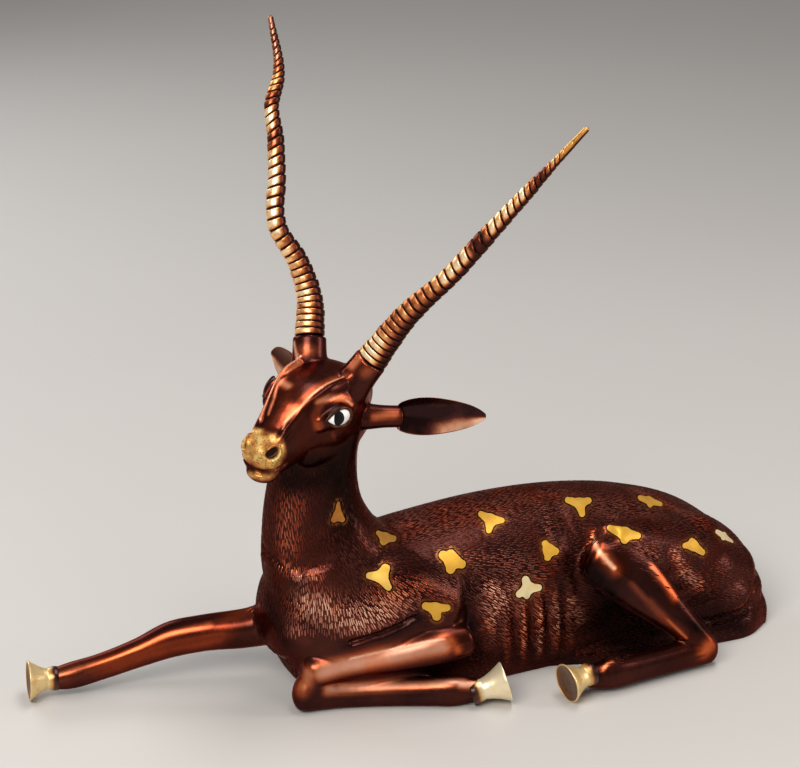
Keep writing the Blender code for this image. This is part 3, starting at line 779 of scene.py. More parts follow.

# %% [markdown]
# The coat and the spots are placed on the body by maps that live on its points: how worn the
# metal is together with where highlight is painted, where shade is painted, where hair is chased,
# and how deep a point lies inside the nearest spot. A map is a named attribute, so the shader reads
# it on the skin itself and it can't slide. A spot is a core with three or four round-ended lobes.
# Its shape is drawn as it is seen, so it is measured along the picture's two directions from its
# middle, and mirrored for the hidden flank.

# %% Spots
# Each spot: the pixel of its middle, its core, how pale it is, and its lobes. A lobe has a
# direction in degrees, a length and a round end, all in drawn millimetres
SPOTS_SEEN = [
    ((338, 515.5), 2.6, 0.05, ((88, 8.9, 0.9), (225, 5.6, 1.9), (315, 5.4, 1.9))),
    ((385, 538), 2.8, 0.30, ((141, 7.1, 1.3), (350, 7.3, 1.8), (250, 4.4, 2.2))),
    ((381, 576.5), 3.8, 0.62, ((176, 9.5, 2.2), (61, 8.6, 3.0), (304, 10.3, 2.2))),
    ((435, 608.5), 3.5, 0.52, ((162, 8.8, 2.4), (2, 9.9, 2.2), (283, 8.2, 2.8))),
    ((452, 560.5), 4.6, 0.46, ((150, 9.4, 2.8), (339, 9.4, 2.8), (260, 8.3, 3.0), (100, 7.0, 2.8))),
    ((490.5, 520), 3.5, 0.50, ((150, 8.9, 1.9), (358, 9.3, 1.7), (258, 8.3, 2.0))),
    ((528, 588), 3.6, 1.00, ((107, 8.3, 2.4), (213, 9.2, 2.4), (0, 9.3, 2.3), (262, 7.4, 2.2))),
    ((549, 550), 3.6, 0.55, ((121, 7.0, 2.2), (347, 6.9, 2.4), (258, 7.0, 2.2))),
    ((579.5, 503.5), 3.2, 0.55, ((164, 10.0, 1.9), (15, 8.7, 2.0), (280, 8.6, 2.2))),
    ((625, 534), 4.0, 0.55, ((159, 12.0, 2.0), (352, 10.9, 2.2), (263, 6.3, 2.6))),
    ((649.5, 501), 2.5, 0.45, ((162, 8.4, 1.7), (345, 9.4, 1.5), (262, 4.0, 1.6))),
    ((693, 545), 3.3, 0.48, ((180, 8.0, 1.8), (110, 4.8, 2.0), (323, 11.0, 2.0))),
    ((724, 536), 2.0, 1.00, ((149, 8.0, 1.5), (329, 9.7, 1.0), (230, 3.0, 1.3))),
]
# The hidden flank has the same kind of spots, fewer, and placed in the figure's own space
THREE_LOBES = ((150, 8.9, 2.2), (0, 9.3, 2.2), (262, 8.3, 2.4))
SPOTS_HIDDEN = [(place, 3.6, pale, THREE_LOBES) for place, pale in (
    ((-58, 27, 128), 0.4), ((-30, 42, 92), 0.5), ((20, 44, 88), 0.6), ((62, 55, 62), 0.5),
    ((96, 40, 88), 0.9), ((150, 60, 70), 0.5), ((196, 46, 68), 0.6), ((-8, 57, 60), 0.5))]
SPOT_REACH = 24.0
SPOT_RIM = 4.0
SPOT_MELT = 1.2


def soft_max(first, second, melt):
    """The larger of two arrays, with a rounded join where they are nearly equal."""
    share = np.clip(0.5 + 0.5 * (first - second) / melt, 0.0, 1.0)
    return first * share + second * (1.0 - share) + melt * share * (1.0 - share)


def spot_maps(points, normals, tree):
    """Depth of each point inside the nearest spot in drawn millimetres, and how pale that spot is.

    The depth in a lobe is its girth at the nearest place of its middle line, less the distance.
    """
    depth, pale = np.full(len(points), -SPOT_RIM), np.zeros(len(points))
    spots = [(seen(tree, [pixel])[0], *rest) for pixel, *rest in SPOTS_SEEN]
    spots += [(np.array(tree.find_nearest(Vector(place))[0]), *rest) for place, *rest in SPOTS_HIDDEN]
    for middle, core, tone, lobes in spots:
        mirror = np.array([1.0, -np.sign(middle[1]), 1.0])
        near = np.flatnonzero(np.linalg.norm(points - middle, axis=1) < SPOT_REACH)
        near = near[(normals[near] * mirror) @ np.array(back) > 0.0]
        offset = (points[near] - middle) * mirror
        u, v = offset @ np.array(right), offset @ np.array(upward)
        inside = core - np.hypot(u, v)
        for turn, length, end in lobes:
            a, b = math.cos(math.radians(turn)), math.sin(math.radians(turn))
            share = np.clip((u * a + v * b) / (length - end), 0.0, 1.0)
            gap = np.hypot(u - share * a * (length - end), v - share * b * (length - end))
            inside = soft_max(inside, core + (end - core) * share - gap, SPOT_MELT)
        pale[near] = np.where(inside > depth[near], tone, pale[near])
        depth[near] = np.maximum(depth[near], inside)
    return depth, pale


# The skin is thinned to its share of triangles, except on the head and along the spots' outlines
DENSE_FROM = 195.0
DENSE_RIM = 2.5
points, normals = mesh_points(body.data), mesh_normals(body.data)
spot_depth, spot_pale = spot_maps(points, normals, skin)
on_head = np.clip((points[:, 2] - DENSE_FROM) / 10.0, 0.0, 1.0)
kept_dense = np.maximum((spot_depth > -DENSE_RIM) & (spot_depth < DENSE_RIM), on_head)
thin = body.modifiers.new("thin", "DECIMATE")
thin.vertex_group = weigh(body, "thinned", 1.0 - kept_dense)
thin.ratio = BODY_TRIANGLES / (2 * len(body.data.polygons))
settle(body)
body.data.shade_smooth()
points, normals = mesh_points(body.data), mesh_normals(body.data)
spot_depth, spot_pale = spot_maps(points, normals, skin)
give(body.data, "spot", spot_depth)
give(body.data, "spot_pale", spot_pale)
print(len(SPOTS_SEEN), "spots seen and", len(SPOTS_HIDDEN), "on the hidden flank;",
      triangle_count(body.data), "triangles")

# %% [markdown]
# Handling and polishing have rubbed the dark patina thin on everything that stands out: the top
# of the folded foreleg, the face ridges, the knee and shin, the crests of the ribs and the hair
# on the chest. The same map also holds painted highlights where the key light falls on these
# places, and painted shade has a map of its own. The same closeness to a path that carved the
# body also says how worn and how brightly painted a place is. Most of the paths are pixels of the
# picture, because wear and painted light are judged there.

# %% Wear and painted light map
WEAR_POWER = 2.2
# Each place of wear and painted highlight: its path, its reach and how bright the metal is painted there
WORN_AND_LIT = [
    # Face: the near edge and the plane above it, the far side, the lids and the front of the eye
    ([(343, 377), (327, 384), (312.5, 394), (305, 402), (296, 411.6), (286, 422), (283, 428)], 1.5, 0.92),
    ([(347, 376), (330, 381), (314, 391), (300, 404), (289, 416)], 4.2, 0.50),
    ([(300, 372), (292, 388), (282, 410)], 9.0, 0.27),
    ([(286, 373), (293, 367), (299, 362)], 3.4, 0.66),
    ([(280, 381), (288, 386)], 4.4, 0.74),
    ([(280.5, 366), (277.5, 384), (274.5, 398), (268.5, 414)], 1.6, 0.74),
    ([(288, 405), (272, 426)], 7.0, 0.36),
    ([(318, 402), (328, 398), (341, 398), (349, 402)], 3.4, 0.72),
    ([(346, 400), (352, 405)], 1.7, 0.95),
    ([(320, 404), (316, 415), (319, 428)], 4.6, 0.47),
    ([(332, 433), (335, 439)], 2.2, 0.34),
    (in_head([(20, 26, -17), (36, 25, -17)], -1.0), 3.0, 0.7),
    (in_head(BROW, -1.0), 1.3, 0.9),
    # Stalks of the horns and stalk of the ear
    ([(352, 366), (363, 354), (372, 346)], 4.2, 0.76),
    ([(366, 372), (377, 357)], 6.5, 0.46),
    ([(294, 343), (297, 358)], 2.4, 0.78),
    ([(300, 350), (312, 350)], 5.5, 0.45),
    ([(374, 417), (386, 415.5), (397, 415)], 3.6, 0.66),
    # Lower lip
    ([(251, 474), (262, 477), (276, 475)], 2.4, 0.60),
    # Folded foreleg: top of the forearm, knee, cannon and fetlock
    ([(322, 673), (345, 666), (380, 658), (420, 651), (444, 646)], 8.2, 0.78),
    ([(350, 659), (385, 651), (425, 642), (445, 639)], 1.8, 0.90),
    ([(452, 640), (458, 651)], 4.0, 0.60),
    ([(-88, -36, 20), (-84, -38, 30)], 8.0, 0.66),
    ([(328, 690), (370, 687), (420, 684), (464, 681)], 5.0, 0.74),
    ([(8, -70, 17), (18, -73, 16)], 4.0, 0.86),
    # Hind leg: knee, shin, the streak behind it, the lower edge, the cannon and the hock
    ([(593, 537), (597, 548), (606, 560), (614, 568)], 2.8, 1.0),
    ([(593, 532), (599, 550), (616, 570)], 6.0, 0.50),
    ([(589, 548), (591, 536), (600, 529), (616, 529)], 3.6, 0.52),
    ([(632, 584), (646, 600)], 3.4, 0.36),
    ([(650, 602), (668, 622), (682, 636)], 5.2, 0.38),
    ([(668, 620), (686, 638)], 1.8, 0.60),
    ([(652, 568), (667, 586), (674, 598)], 4.6, 0.58),
    ([(588, 580), (602, 592), (613, 602)], 1.3, 0.50),
    ([(603, 669), (611, 661)], 2.2, 0.70),
    ([(704, 652), (709, 646)], 7.0, 0.60),
    # Stretched foreleg and the edge of the haunch over the tail
    ([(-224, 52, 16), (-190, 48, 20), (-150, 38, 33), (-110, 27, 40), (-84, 20, 44)], 11.0, 0.36),
    ([(-222, 48, 20), (-190, 43, 25), (-152, 33, 40), (-126, 26, 45)], 3.6, 0.55),
    ([(754, 586), (745, 604), (730, 612)], 2.6, 0.36),
]
# Places where the patina turned orange, and how much
RUSTY = [
    ([(704, 652), (709, 646)], 8.0, 1.0),
    ([(452, 640), (459, 652)], 6.0, 0.9),
    ([(302, 662), (296, 690)], 8.0, 0.6),
    ([(372, 417), (402, 415)], 4.0, 0.7),
    ([(338, 399), (352, 404)], 4.5, 0.8),
    ([(352, 366), (372, 346)], 7.0, 0.6),
    ([(588, 552), (591, 536), (600, 529), (616, 529), (622, 572)], 6.0, 0.9),
    ([(662, 576), (675, 600)], 6.0, 0.9),
    ([(602, 670), (612, 661)], 4.0, 0.5),
    ([(283, 428), (296, 412), (312, 394)], 3.0, 0.6),
    ([(-190, 48, 20), (-150, 38, 33), (-110, 27, 40)], 14.0, 0.8),
]
# Painted shade: places darkened where shade falls, under the jaw, on the far side of the neck, in creases
# and slits, low on the belly and haunch, and how dark
PAINTED_SHADE = [
    ([(336, 470), (341, 495), (347, 515)], 15.0, 1.0),
    ([(296, 466), (325, 462), (350, 445)], 11.0, 0.9),
    ([(288, 480), (316, 482)], 8.0, 0.8),
    ([(470, 596), (476, 642)], 8.0, 0.9),
    ([(594, 570), (612, 606), (652, 634)], 12.0, 1.0),
    ([(588, 610), (640, 648)], 13.0, 0.8),
    ([(480, 656), (566, 662)], 8.0, 0.6),
    ([(700, 612), (742, 622)], 13.0, 0.7),
    ([(268, 602), (285, 640)], 7.0, 0.7),
    ([(398, 575), (420, 570), (440, 583)], 5.0, 0.5),
    ([(350, 644), (380, 635), (416, 618)], 5.0, 1.0),
    ([(660, 625), (700, 626), (760, 628)], 6.0, 0.8),
]
# Painted highlight on the coat: places where the crests of the hair strokes are painted shining, and how
# bright
PAINTED_COAT_SHEEN = [
    ([(310, 605), (335, 616), (356, 622), (378, 616), (398, 600)], 13.0, 0.92),
    ([(296, 632), (306, 641)], 8.0, 0.62),
    ([(284, 566), (300, 577), (316, 577)], 5.0, 0.80),
    ([(291, 505), (288, 522), (288, 545)], 9.0, 0.55),
    ([(404, 592), (425, 583), (450, 590)], 8.0, 0.50),
    ([(490, 588), (500, 603), (490, 622)], 7.5, 0.78),
    ([(512, 588), (540, 592), (560, 600)], 5.0, 0.60),
    ([(488, 604), (530, 610), (574, 614)], 14.0, 0.56),
    ([(496, 632), (530, 636), (566, 634)], 10.0, 0.40),
    ([(574, 600), (579, 622)], 5.0, 0.84),
    ([(675, 552), (684, 571), (699, 584)], 5.0, 0.80),
    ([(640, 551), (657, 556)], 6.0, 0.42),
    ([(420, 528), (500, 510), (570, 500), (640, 510)], 22.0, 0.22),
    ([(640, 492), (700, 520)], 9.0, 0.28),
    ([(541, 492), (547, 520), (556, 566)], 4.0, 0.34),
    ([(470, 560), (505, 565), (540, 572)], 9.0, 0.34),
]


def laid_marks(marks):
    """The listed places of wear, painted highlight and painted shade, with their paths laid on the skin.
    """
    return [(laid(skin, path), reach, bright) for path, reach, bright in marks]


def wear_and_light_map(points, marks):
    """The strongest mark at each point: closeness to each listed place times its strength. It serves
    wear, painted highlight and painted shade.
    """
    found = np.zeros(len(points))
    for path, reach, bright in marks:
        found = np.maximum(found, bright * closeness(points, path, reach, WEAR_POWER))
    return found


GOLD_NOSE = [(252, 447), (259, 441), (268, 441), (276, 446), (280, 455), (275, 463), (264, 462),
             (254, 458)]
LOWER_LIP = [(250, 475), (262, 478), (275, 475)]
nose_path = laid(skin, GOLD_NOSE)
far_nose = laid(skin, other_side(nose_path), pieces=1)
lip_path = laid(skin, LOWER_LIP)
muzzle = np.maximum(closeness(points, nose_path, 6.2), closeness(points, far_nose, 6.2))
muzzle = np.maximum(muzzle, 0.6 * closeness(points, lip_path, 4.0))
sheen_marks = laid_marks(PAINTED_COAT_SHEEN)
shade_marks = laid_marks(PAINTED_SHADE)
wear_and_highlight = wear_and_light_map(points, laid_marks(WORN_AND_LIT))
give(body.data, "wear_and_highlight", wear_and_highlight)
folds = rib_wave(points)
# Rib crests get a painted highlight and rib troughs painted shade
crests, troughs = 0.8 * np.clip(folds, 0.0, 1.0), 0.9 * np.clip(-1.4 * folds, 0.0, 1.0)
give(body.data, "sheen", np.maximum(wear_and_light_map(points, sheen_marks), crests))
# The attribute deep holds painted shade: the listed shaded places and the rib troughs
give(body.data, "deep", np.maximum(wear_and_light_map(points, shade_marks), troughs))
give(body.data, "rusty", wear_and_light_map(points, laid_marks(RUSTY)))
give(body.data, "muzzle", muzzle)
print("worn points:", int((wear_and_highlight > 0.3).sum()), "of", len(wear_and_highlight))

# %% [markdown]
# Hair covers the trunk, chest and neck, and leaves the legs, the head and the spots smooth. The
# map is one minus each smooth part's own mask, with soft borders so that the hair thins out.


# %% Coat map
def coat_map(points, normals):
    """One where hair is chased, zero on head, legs and underside, soft between."""
    x, y, z = points.T
    below_jaw = np.clip((163.0 - z) / 8.0, 0.0, 1.0)
    stretched = fade(x, -300, -100, 6) * fade(z, -10, 62, 6)
    arm_line = 54.0 + (x + 80.0) * 0.08
    folded = fade(x, -110, 24, 4) * fade(z, -10, arm_line, 3) * fade(y, -200, -20, 8)
    shin_path = np.array([(106, -68, 86), (118, -74, 76), (136, -80, 60), (158, -86, 36),
                          (180, -90, 16)], float)
    shin = closeness(points, shin_path, 14.0)
    cannon = fade(z, -10, 21, 3) * fade(y, -200, -70, 4)
    far_path = np.array([(130, 66, 56), (152, 78, 42), (180, 88, 14)], float)
    far_shin = closeness(points, far_path, 11.0)
    far_cannon = fade(z, -10, 21, 3) * fade(y, 70, 200, 4)
    low = fade(z, -10, 3, 3)
    fold = closeness(points, laid(skin, [(655, 568), (668, 586), (676, 600)]), 6.0)
    bare = np.maximum.reduce([stretched, folded, np.clip(shin * 1.8, 0, 1), cannon,
                              np.clip(far_shin * 1.8, 0, 1), far_cannon, low, fold])
    return np.clip(below_jaw * (1.0 - bare) * (normals[:, 2] > -0.6), 0.0, 1.0)


coat = coat_map(points, normals)
give(body.data, "coat", coat)
print("share of the skin with hair:", round(float((coat > 0.5).mean()), 2))

# %% [markdown]
# The dark patina is made in the shader in layers, from the bottom up. A colour strip turns wear,
# painted highlight and painted shade into colour: near black-brown, red-brown, orange copper, then
# salmon and cream where the metal is bare and where a highlight is painted. Soft noise breaks the
# borders up. Spots are yellow metal inside their outline, with the thin dark line that the chaser
# left round most of them, and a faint rubbed glow outside it.

# %% Patinated brass
DARK = (0.020, 0.0055, 0.0050)
# What the patina's colour is multiplied by where it turned orange
RUST = (1.12, 0.66, 0.36, 1.0)
PATINA = [(0.0, (0.005, 0.0025, 0.0023)), (0.12, (0.040, 0.0105, 0.0090)), (0.28, (0.100, 0.022, 0.014)),
          (0.45, (0.27, 0.060, 0.026)), (0.62, (0.46, 0.15, 0.070)), (0.80, (0.62, 0.29, 0.20)),
          (1.0, (0.86, 0.60, 0.42))]
SPOT_STRIP = [(0.0, (0.34, 0.12, 0.020)), (0.3, (0.55, 0.27, 0.045)), (0.55, (0.70, 0.39, 0.045)),
              (0.75, (0.80, 0.54, 0.15)), (1.0, (0.84, 0.72, 0.42))]


def spot_masks(finish):
    """Three masks from a spot's depth: one inside it, one on its outline, one for its glow."""
    depth = finish.uneven(finish.attribute("spot"), finish.noise(0.004, detail=2.0), 0.6)
    inside = finish.spread(depth, -0.12, 0.12)
    line = finish.spread(finish.math("ABSOLUTE", finish.math("ADD", depth, 0.45)), 0.30, 0.55,
                         1.0, 0.0)
    broken = finish.spread(finish.noise(0.016, detail=1.0), 0.36, 0.44, 0.25, 1.0)
    glow = finish.spread(finish.math("MULTIPLY_ADD", finish.noise(0.012), 2.4, depth), -2.2, 0.6)
    return inside, finish.times(line, broken), glow


brass = Finish("patinated_brass", coat_weight=0.04, coat_roughness=0.12,
               specular_tint=(0.75, 0.42, 0.34, 1.0))
cloud = brass.noise(0.035, detail=5.0)
speck = brass.noise(0.0035, detail=4.0, rough=0.7)
# The patina's level: wear, lifted by painted highlight from the map sheen and lowered by painted shade
# from the map deep
level = brass.larger(brass.attribute("wear_and_highlight"), brass.times(brass.attribute("sheen"), 0.34))
# Painted shade: the map deep takes away the patina's usual floor, so shaded places go near black
level = brass.larger(level, brass.math("MULTIPLY_ADD", brass.attribute("deep"), -0.14, 0.14))
ragged = brass.uneven(brass.uneven(level, cloud, 0.30), speck, 0.10)
rust_cloud = brass.spread(brass.noise(0.06, detail=2.0), 0.50, 0.66, 0.0, 0.6)
rust = brass.larger(brass.attribute("rusty"), rust_cloud)
base = brass.mix(rust, brass.ramp(ragged, PATINA), RUST, blend="MULTIPLY")
muzzle_share = brass.spread(brass.uneven(brass.attribute("muzzle"), brass.noise(0.006), 0.5), 0.10, 0.80)
stipple = brass.node("TexVoronoi", {"Vector": brass.node("TexCoord", output="Object"),
                                    "Scale": 1.0 / 0.0016}, output="Distance")
dots = brass.spread(stipple, 0.20, 0.40, 1.0, 0.0)
golden = brass.spread(brass.noise(0.009, detail=4.0), 0.32, 0.62, 0.45, 1.0)
golden = brass.times(muzzle_share, golden)
gold = brass.ramp(golden, [(0.15, (0.16, 0.040, 0.014)), (0.45, (0.38, 0.135, 0.036)),
                           (0.75, (0.60, 0.34, 0.090)), (1.0, (0.74, 0.52, 0.20))])
gold = brass.mix(brass.times(dots, 0.7), gold, (0.10, 0.032, 0.012, 1.0))
base = brass.mix(brass.spread(muzzle_share, 0.0, 0.35), base, gold)
# Painted shade inside the nostrils, near black
base = brass.mix(brass.spread(brass.attribute("nostril_shade"), 0.35, 0.75), base, (0.020, 0.006, 0.004, 1.0))
spot_in, spot_line, spot_glow = spot_masks(brass)
base = brass.mix(brass.times(spot_glow, 0.55), base, (0.34, 0.11, 0.025, 1.0))
pale = brass.uneven(brass.attribute("spot_pale"), brass.noise(0.010, detail=2.0), 0.5)
base = brass.mix(spot_in, base, brass.ramp(pale, SPOT_STRIP))
base = brass.mix(spot_line, base, (0.016, 0.006, 0.005, 1.0))
bright_metal = brass.larger(spot_in, brass.larger(muzzle_share, brass.spread(ragged, 0.4, 0.9)))
rough = brass.math("MULTIPLY_ADD", speck, 0.14, brass.math("MULTIPLY_ADD", bright_metal, 0.12, 0.22))
fine = brass.bump(speck, 0.00010, 0.5)
chase = brass.node("TexNoise", {"Vector": brass.node("Mapping", {
    "Vector": brass.node("TexCoord", output="Object"), "Scale": (0.35, 1.0, 1.0)}),
    "Scale": 1.0 / 0.0016, "Detail": 2.0})
chased = brass.times(brass.times(chase, brass.attribute("coat")),
                    brass.math("SUBTRACT", 1.0, spot_in))
relief = brass.bump(chased, 0.0004, 0.8, fine)
brass.set(base_color=base, roughness=rough, normal=relief,
          metallic=brass.math("MULTIPLY_ADD", bright_metal, -0.38, 0.90))
dress(body, brass)
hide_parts("deer_casting")
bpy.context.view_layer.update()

# %% [markdown]
# The hair is cut with a chisel in short parallel strokes, each a low spindle about 6 mm long and
# 1.2 mm wide, nearly touching its neighbours. Painting it as bump would lose it on every edge, so
# each stroke is a small closed mesh of its own that is half sunk in the skin. First come their
# places: random points on the skin, thinned so that two strokes are never closer than an oval
# that is long along the hair.

# %% Places of the hair strokes
HAIR_WIDE = 1.22
HAIR_LONG = 6.4
HAIR_ACROSS = 1.08
HAIR_ALONG = 4.3
HAIR_PROUD = 0.34
HAIR_SEED = 7
HAIR_CANDIDATES = 230_000


def hair_lean(points):
    """Angle of the hair from straight down towards the tail, in radians, at each point."""
    x, y, z = points.T
    by_place = np.interp(x, (-90, -60, -30, 0, 40, 110, 180, 250), (6, 14, 34, 52, 62, 70, 74, 66))
    on_top = np.clip((z - 78.0) / 22.0, 0.0, 1.0) * np.clip((x - 0.0) / 20.0, 0.0, 1.0)
    lean = by_place + (90.0 - by_place) * on_top
    on_neck = np.clip((z - 108.0) / 22.0, 0.0, 1.0) * np.clip((-x + 10.0) / 20.0, 0.0, 1.0)
    swirl = 9.0 * np.sin(x / 19.0 + z / 23.0)
    return np.radians(lean + (7.0 - lean) * on_neck + swirl * (1.0 - on_neck))


def hair_directions(points, normals):
    """Unit directions of the hair: down and towards the tail by its lean, laid on the skin."""
    lean = hair_lean(points)
    flow = np.stack([np.sin(lean), np.zeros(len(points)), -np.cos(lean)], axis=1)
    flow = flow - normals * np.einsum("ij,ij->i", flow, normals)[:, None]
    return unit(flow + 1e-6)


def scatter_on_skin(mesh, weights, count, seed):
    """Random points on the mesh, as many to each face as its area times its weight asks."""
    rng = np.random.default_rng(seed)
    mesh.calc_loop_triangles()
    corners = np.empty(len(mesh.loop_triangles) * 3, np.int32)
    mesh.loop_triangles.foreach_get("vertices", corners)
    corners = corners.reshape(-1, 3)
    places, facing = mesh_points(mesh), mesh_normals(mesh)
    a, b, c = (places[corners[:, k]] for k in range(3))
    area = np.linalg.norm(np.cross(b - a, c - a), axis=1) * weights[corners].mean(axis=1)
    chosen = corners[rng.choice(len(corners), count, p=area / area.sum())]
    share = rng.random((count, 2))
    share = np.where(share.sum(axis=1, keepdims=True) > 1.0, 1.0 - share, share)
    share = np.column_stack([1.0 - share.sum(axis=1), share])
    return (np.einsum("nk,nkj->nj", share, places[chosen]),
            unit(np.einsum("nk,nkj->nj", share, facing[chosen])))


def thin_out(places, directions, normals):
    """Keep a place only if no kept one lies within its oval, long along the hair."""
    tree = KDTree(len(places))
    for number, place in enumerate(places):
        tree.insert(place, number)
    tree.balance()
    across = np.cross(normals, directions)
    free = np.ones(len(places), bool)
    kept = []
    for number in range(len(places)):
        if not free[number]:
            continue
        kept.append(number)
        near = np.array([found[1] for found in tree.find_range(places[number], HAIR_ALONG)])
        offset = places[near] - places[number]
        oval = (offset @ directions[number] / HAIR_ALONG) ** 2
        oval += (offset @ across[number] / HAIR_ACROSS) ** 2
        free[near[oval < 1.0]] = False
    return np.array(kept)


# How far outside a spot a stroke stays, tested at its middle and at this share of its length
CLEAR_OF_SPOT = 0.3
TESTED_SHARE = 0.36
hair_weights = np.where(spot_depth < -0.5, coat, 0.0) ** 2
stroke_places, stroke_facing = scatter_on_skin(body.data, hair_weights, HAIR_CANDIDATES, HAIR_SEED)
stroke_flow = hair_directions(stroke_places, stroke_facing)
half_stroke = stroke_flow * HAIR_LONG * TESTED_SHARE
clear = np.ones(len(stroke_places), bool)
for along_stroke in (stroke_places - half_stroke, stroke_places, stroke_places + half_stroke):
    clear &= spot_maps(along_stroke, stroke_facing, skin)[0] < -CLEAR_OF_SPOT
stroke_places, stroke_facing, stroke_flow = (
    a[clear] for a in (stroke_places, stroke_facing, stroke_flow))
kept = thin_out(stroke_places, stroke_flow, stroke_facing)
stroke_places, stroke_facing, stroke_flow = (
    a[kept] for a in (stroke_places, stroke_facing, stroke_flow))
print("hair strokes:", len(kept))

# %% [markdown]
# One stroke is a ring of five points at three stations, closed by a tip at each end. All of them
# are computed together: an array of places times an array of stations times an array of angles.
# Where the skin curves, each station is first dropped onto the skin, so no end stands off it. The
# strokes are parted into four pieces by where they are, so that no piece grows too large.

# %% Hair strokes
STATIONS = np.array([-0.5, -0.28, 0.0, 0.28, 0.5])
STATION_GIRTH = np.array([0.0, 0.80, 1.0, 0.74, 0.0])
HAIR_SIDES = 5
# Where along the figure the front pieces of hair end
FRONT_TO = 20.0


def hair_mesh(name, middles, directions, facing, rng):
    """Spindles along the skin: station plus girth times (across cos a, outward sin a)."""
    count = len(middles)
    length = HAIR_LONG * rng.uniform(0.75, 1.2, count)
    width = HAIR_WIDE * rng.uniform(0.85, 1.1, count)
    line = middles[:, None] + directions[:, None] * (STATIONS[:, None] * length[:, None, None])
    found = [skin.find_nearest(Vector(point))[:2] for point in line.reshape(-1, 3)]
    line = np.array([p for p, _ in found]).reshape(count, len(STATIONS), 3)
    out = np.array([n for _, n in found]).reshape(count, len(STATIONS), 3)
    out = unit(out * 0.5 + facing[:, None] * 0.5)
    along = unit(line[:, -1] - line[:, 0])[:, None]
    across = unit(np.cross(out, along))
    angle = (np.arange(HAIR_SIDES) + 0.75) * math.tau / HAIR_SIDES
    wide = (STATION_GIRTH[None, 1:-1] * width[:, None] / 2.0)[:, :, None, None]
    tall = STATION_GIRTH[None, 1:-1, None, None] * HAIR_PROUD
    rings = line[:, 1:-1, None] + across[:, 1:-1, None] * np.cos(angle)[:, None] * wide
    rings = rings + out[:, 1:-1, None] * np.sin(angle)[:, None] * tall
    tips = line[:, [0, -1]] - out[:, [0, -1]] * HAIR_PROUD * 0.4
    each = 3 * HAIR_SIDES + 2
    points = np.concatenate([rings.reshape(count, -1, 3), tips], axis=1)
    index = np.arange(3 * HAIR_SIDES).reshape(3, HAIR_SIDES)
    turned = np.roll(index, -1, axis=1)
    quads = np.stack([index[:-1], turned[:-1], turned[1:], index[1:]], axis=-1).reshape(-1, 4)
    foot = np.stack([np.full(HAIR_SIDES, each - 2), turned[0], index[0]], axis=-1)
    head = np.stack([np.full(HAIR_SIDES, each - 1), index[-1], turned[-1]], axis=-1)
    quads, ends = turn_outward(points[0], quads, np.vstack([foot, head]))
    start = (np.arange(count) * each)[:, None, None]
    faces = (quads + start).reshape(-1, 4).tolist() + (ends + start).reshape(-1, 3).tolist()
    mesh = bpy.data.meshes.new(name)
    mesh.from_pydata((points.reshape(-1, 3) * MM).tolist(), [], faces)
    mesh.shade_smooth()
    crest = np.concatenate([np.tile(np.clip(np.sin(angle), 0.0, 1.0), 3), [0.0, 0.0]])
    # Painted sheen from the listed lit places and the rib crests, painted shade from the listed shaded
    # places and the rib troughs
    folds = rib_wave(middles)
    sheen = np.maximum(wear_and_light_map(middles, sheen_marks), 0.95 * np.clip(folds, 0.0, 1.0))
    depth = np.maximum(wear_and_light_map(middles, shade_marks), np.clip(-2.0 * folds, 0.0, 0.98))
    depth = np.clip(depth + rng.normal(0.0, 0.08, count), 0.0, 1.0)
    give(mesh, "crest", np.tile(crest, count))
    give(mesh, "sheen", np.repeat(sheen * rng.uniform(0.75, 1.2, count), each))
    give(mesh, "deep", np.repeat(depth, each))
    return linked(name, mesh)


rng = np.random.default_rng(HAIR_SEED)
at_x, at_y = stroke_places[:, 0], stroke_places[:, 1]
near_side = at_y < 0.0
in_front = at_x < FRONT_TO
HAIR_PARTS = {"hair_near_front": near_side & in_front, "hair_near_back": near_side & ~in_front,
              "hair_far_front": ~near_side & in_front, "hair_far_back": ~near_side & ~in_front}
hair = [hair_mesh(name, stroke_places[part], stroke_flow[part], stroke_facing[part], rng)
        for name, part in HAIR_PARTS.items()]
print("hair triangles:", [triangle_count(piece.data) for piece in hair])

# %% [markdown]
# The strokes take the same patina, but their crests are rubbed: the colour climbs the patina
# strip with the height on the stroke. Painted highlight lifts the crests further with the painted
# sheen of the place, and painted shade, the map deep, darkens the strokes where shade falls.

# %% Hair finish
HAIR_STRIP = [(0.0, (0.004, 0.0020, 0.0019)), (0.14, (0.027, 0.0076, 0.0066)),
              (0.30, (0.100, 0.026, 0.018)), (0.52, (0.29, 0.090, 0.060)),
              (0.75, (0.54, 0.24, 0.16)), (1.0, (0.86, 0.55, 0.40))]
HAIR_RUST = (1.15, 0.72, 0.50, 1.0)
hair_brass = Finish("chased_brass", coat_weight=0.04, coat_roughness=0.15,
                    specular_tint=(0.75, 0.42, 0.34, 1.0))
crest = hair_brass.attribute("crest")
climb = hair_brass.math("MULTIPLY_ADD", crest, 0.20, 0.07)
# Painted shade: the map deep darkens the strokes
unshaded_share = hair_brass.math("MULTIPLY_ADD", hair_brass.attribute("deep"), -0.85, 1.0)
climb = hair_brass.times(climb, unshaded_share)
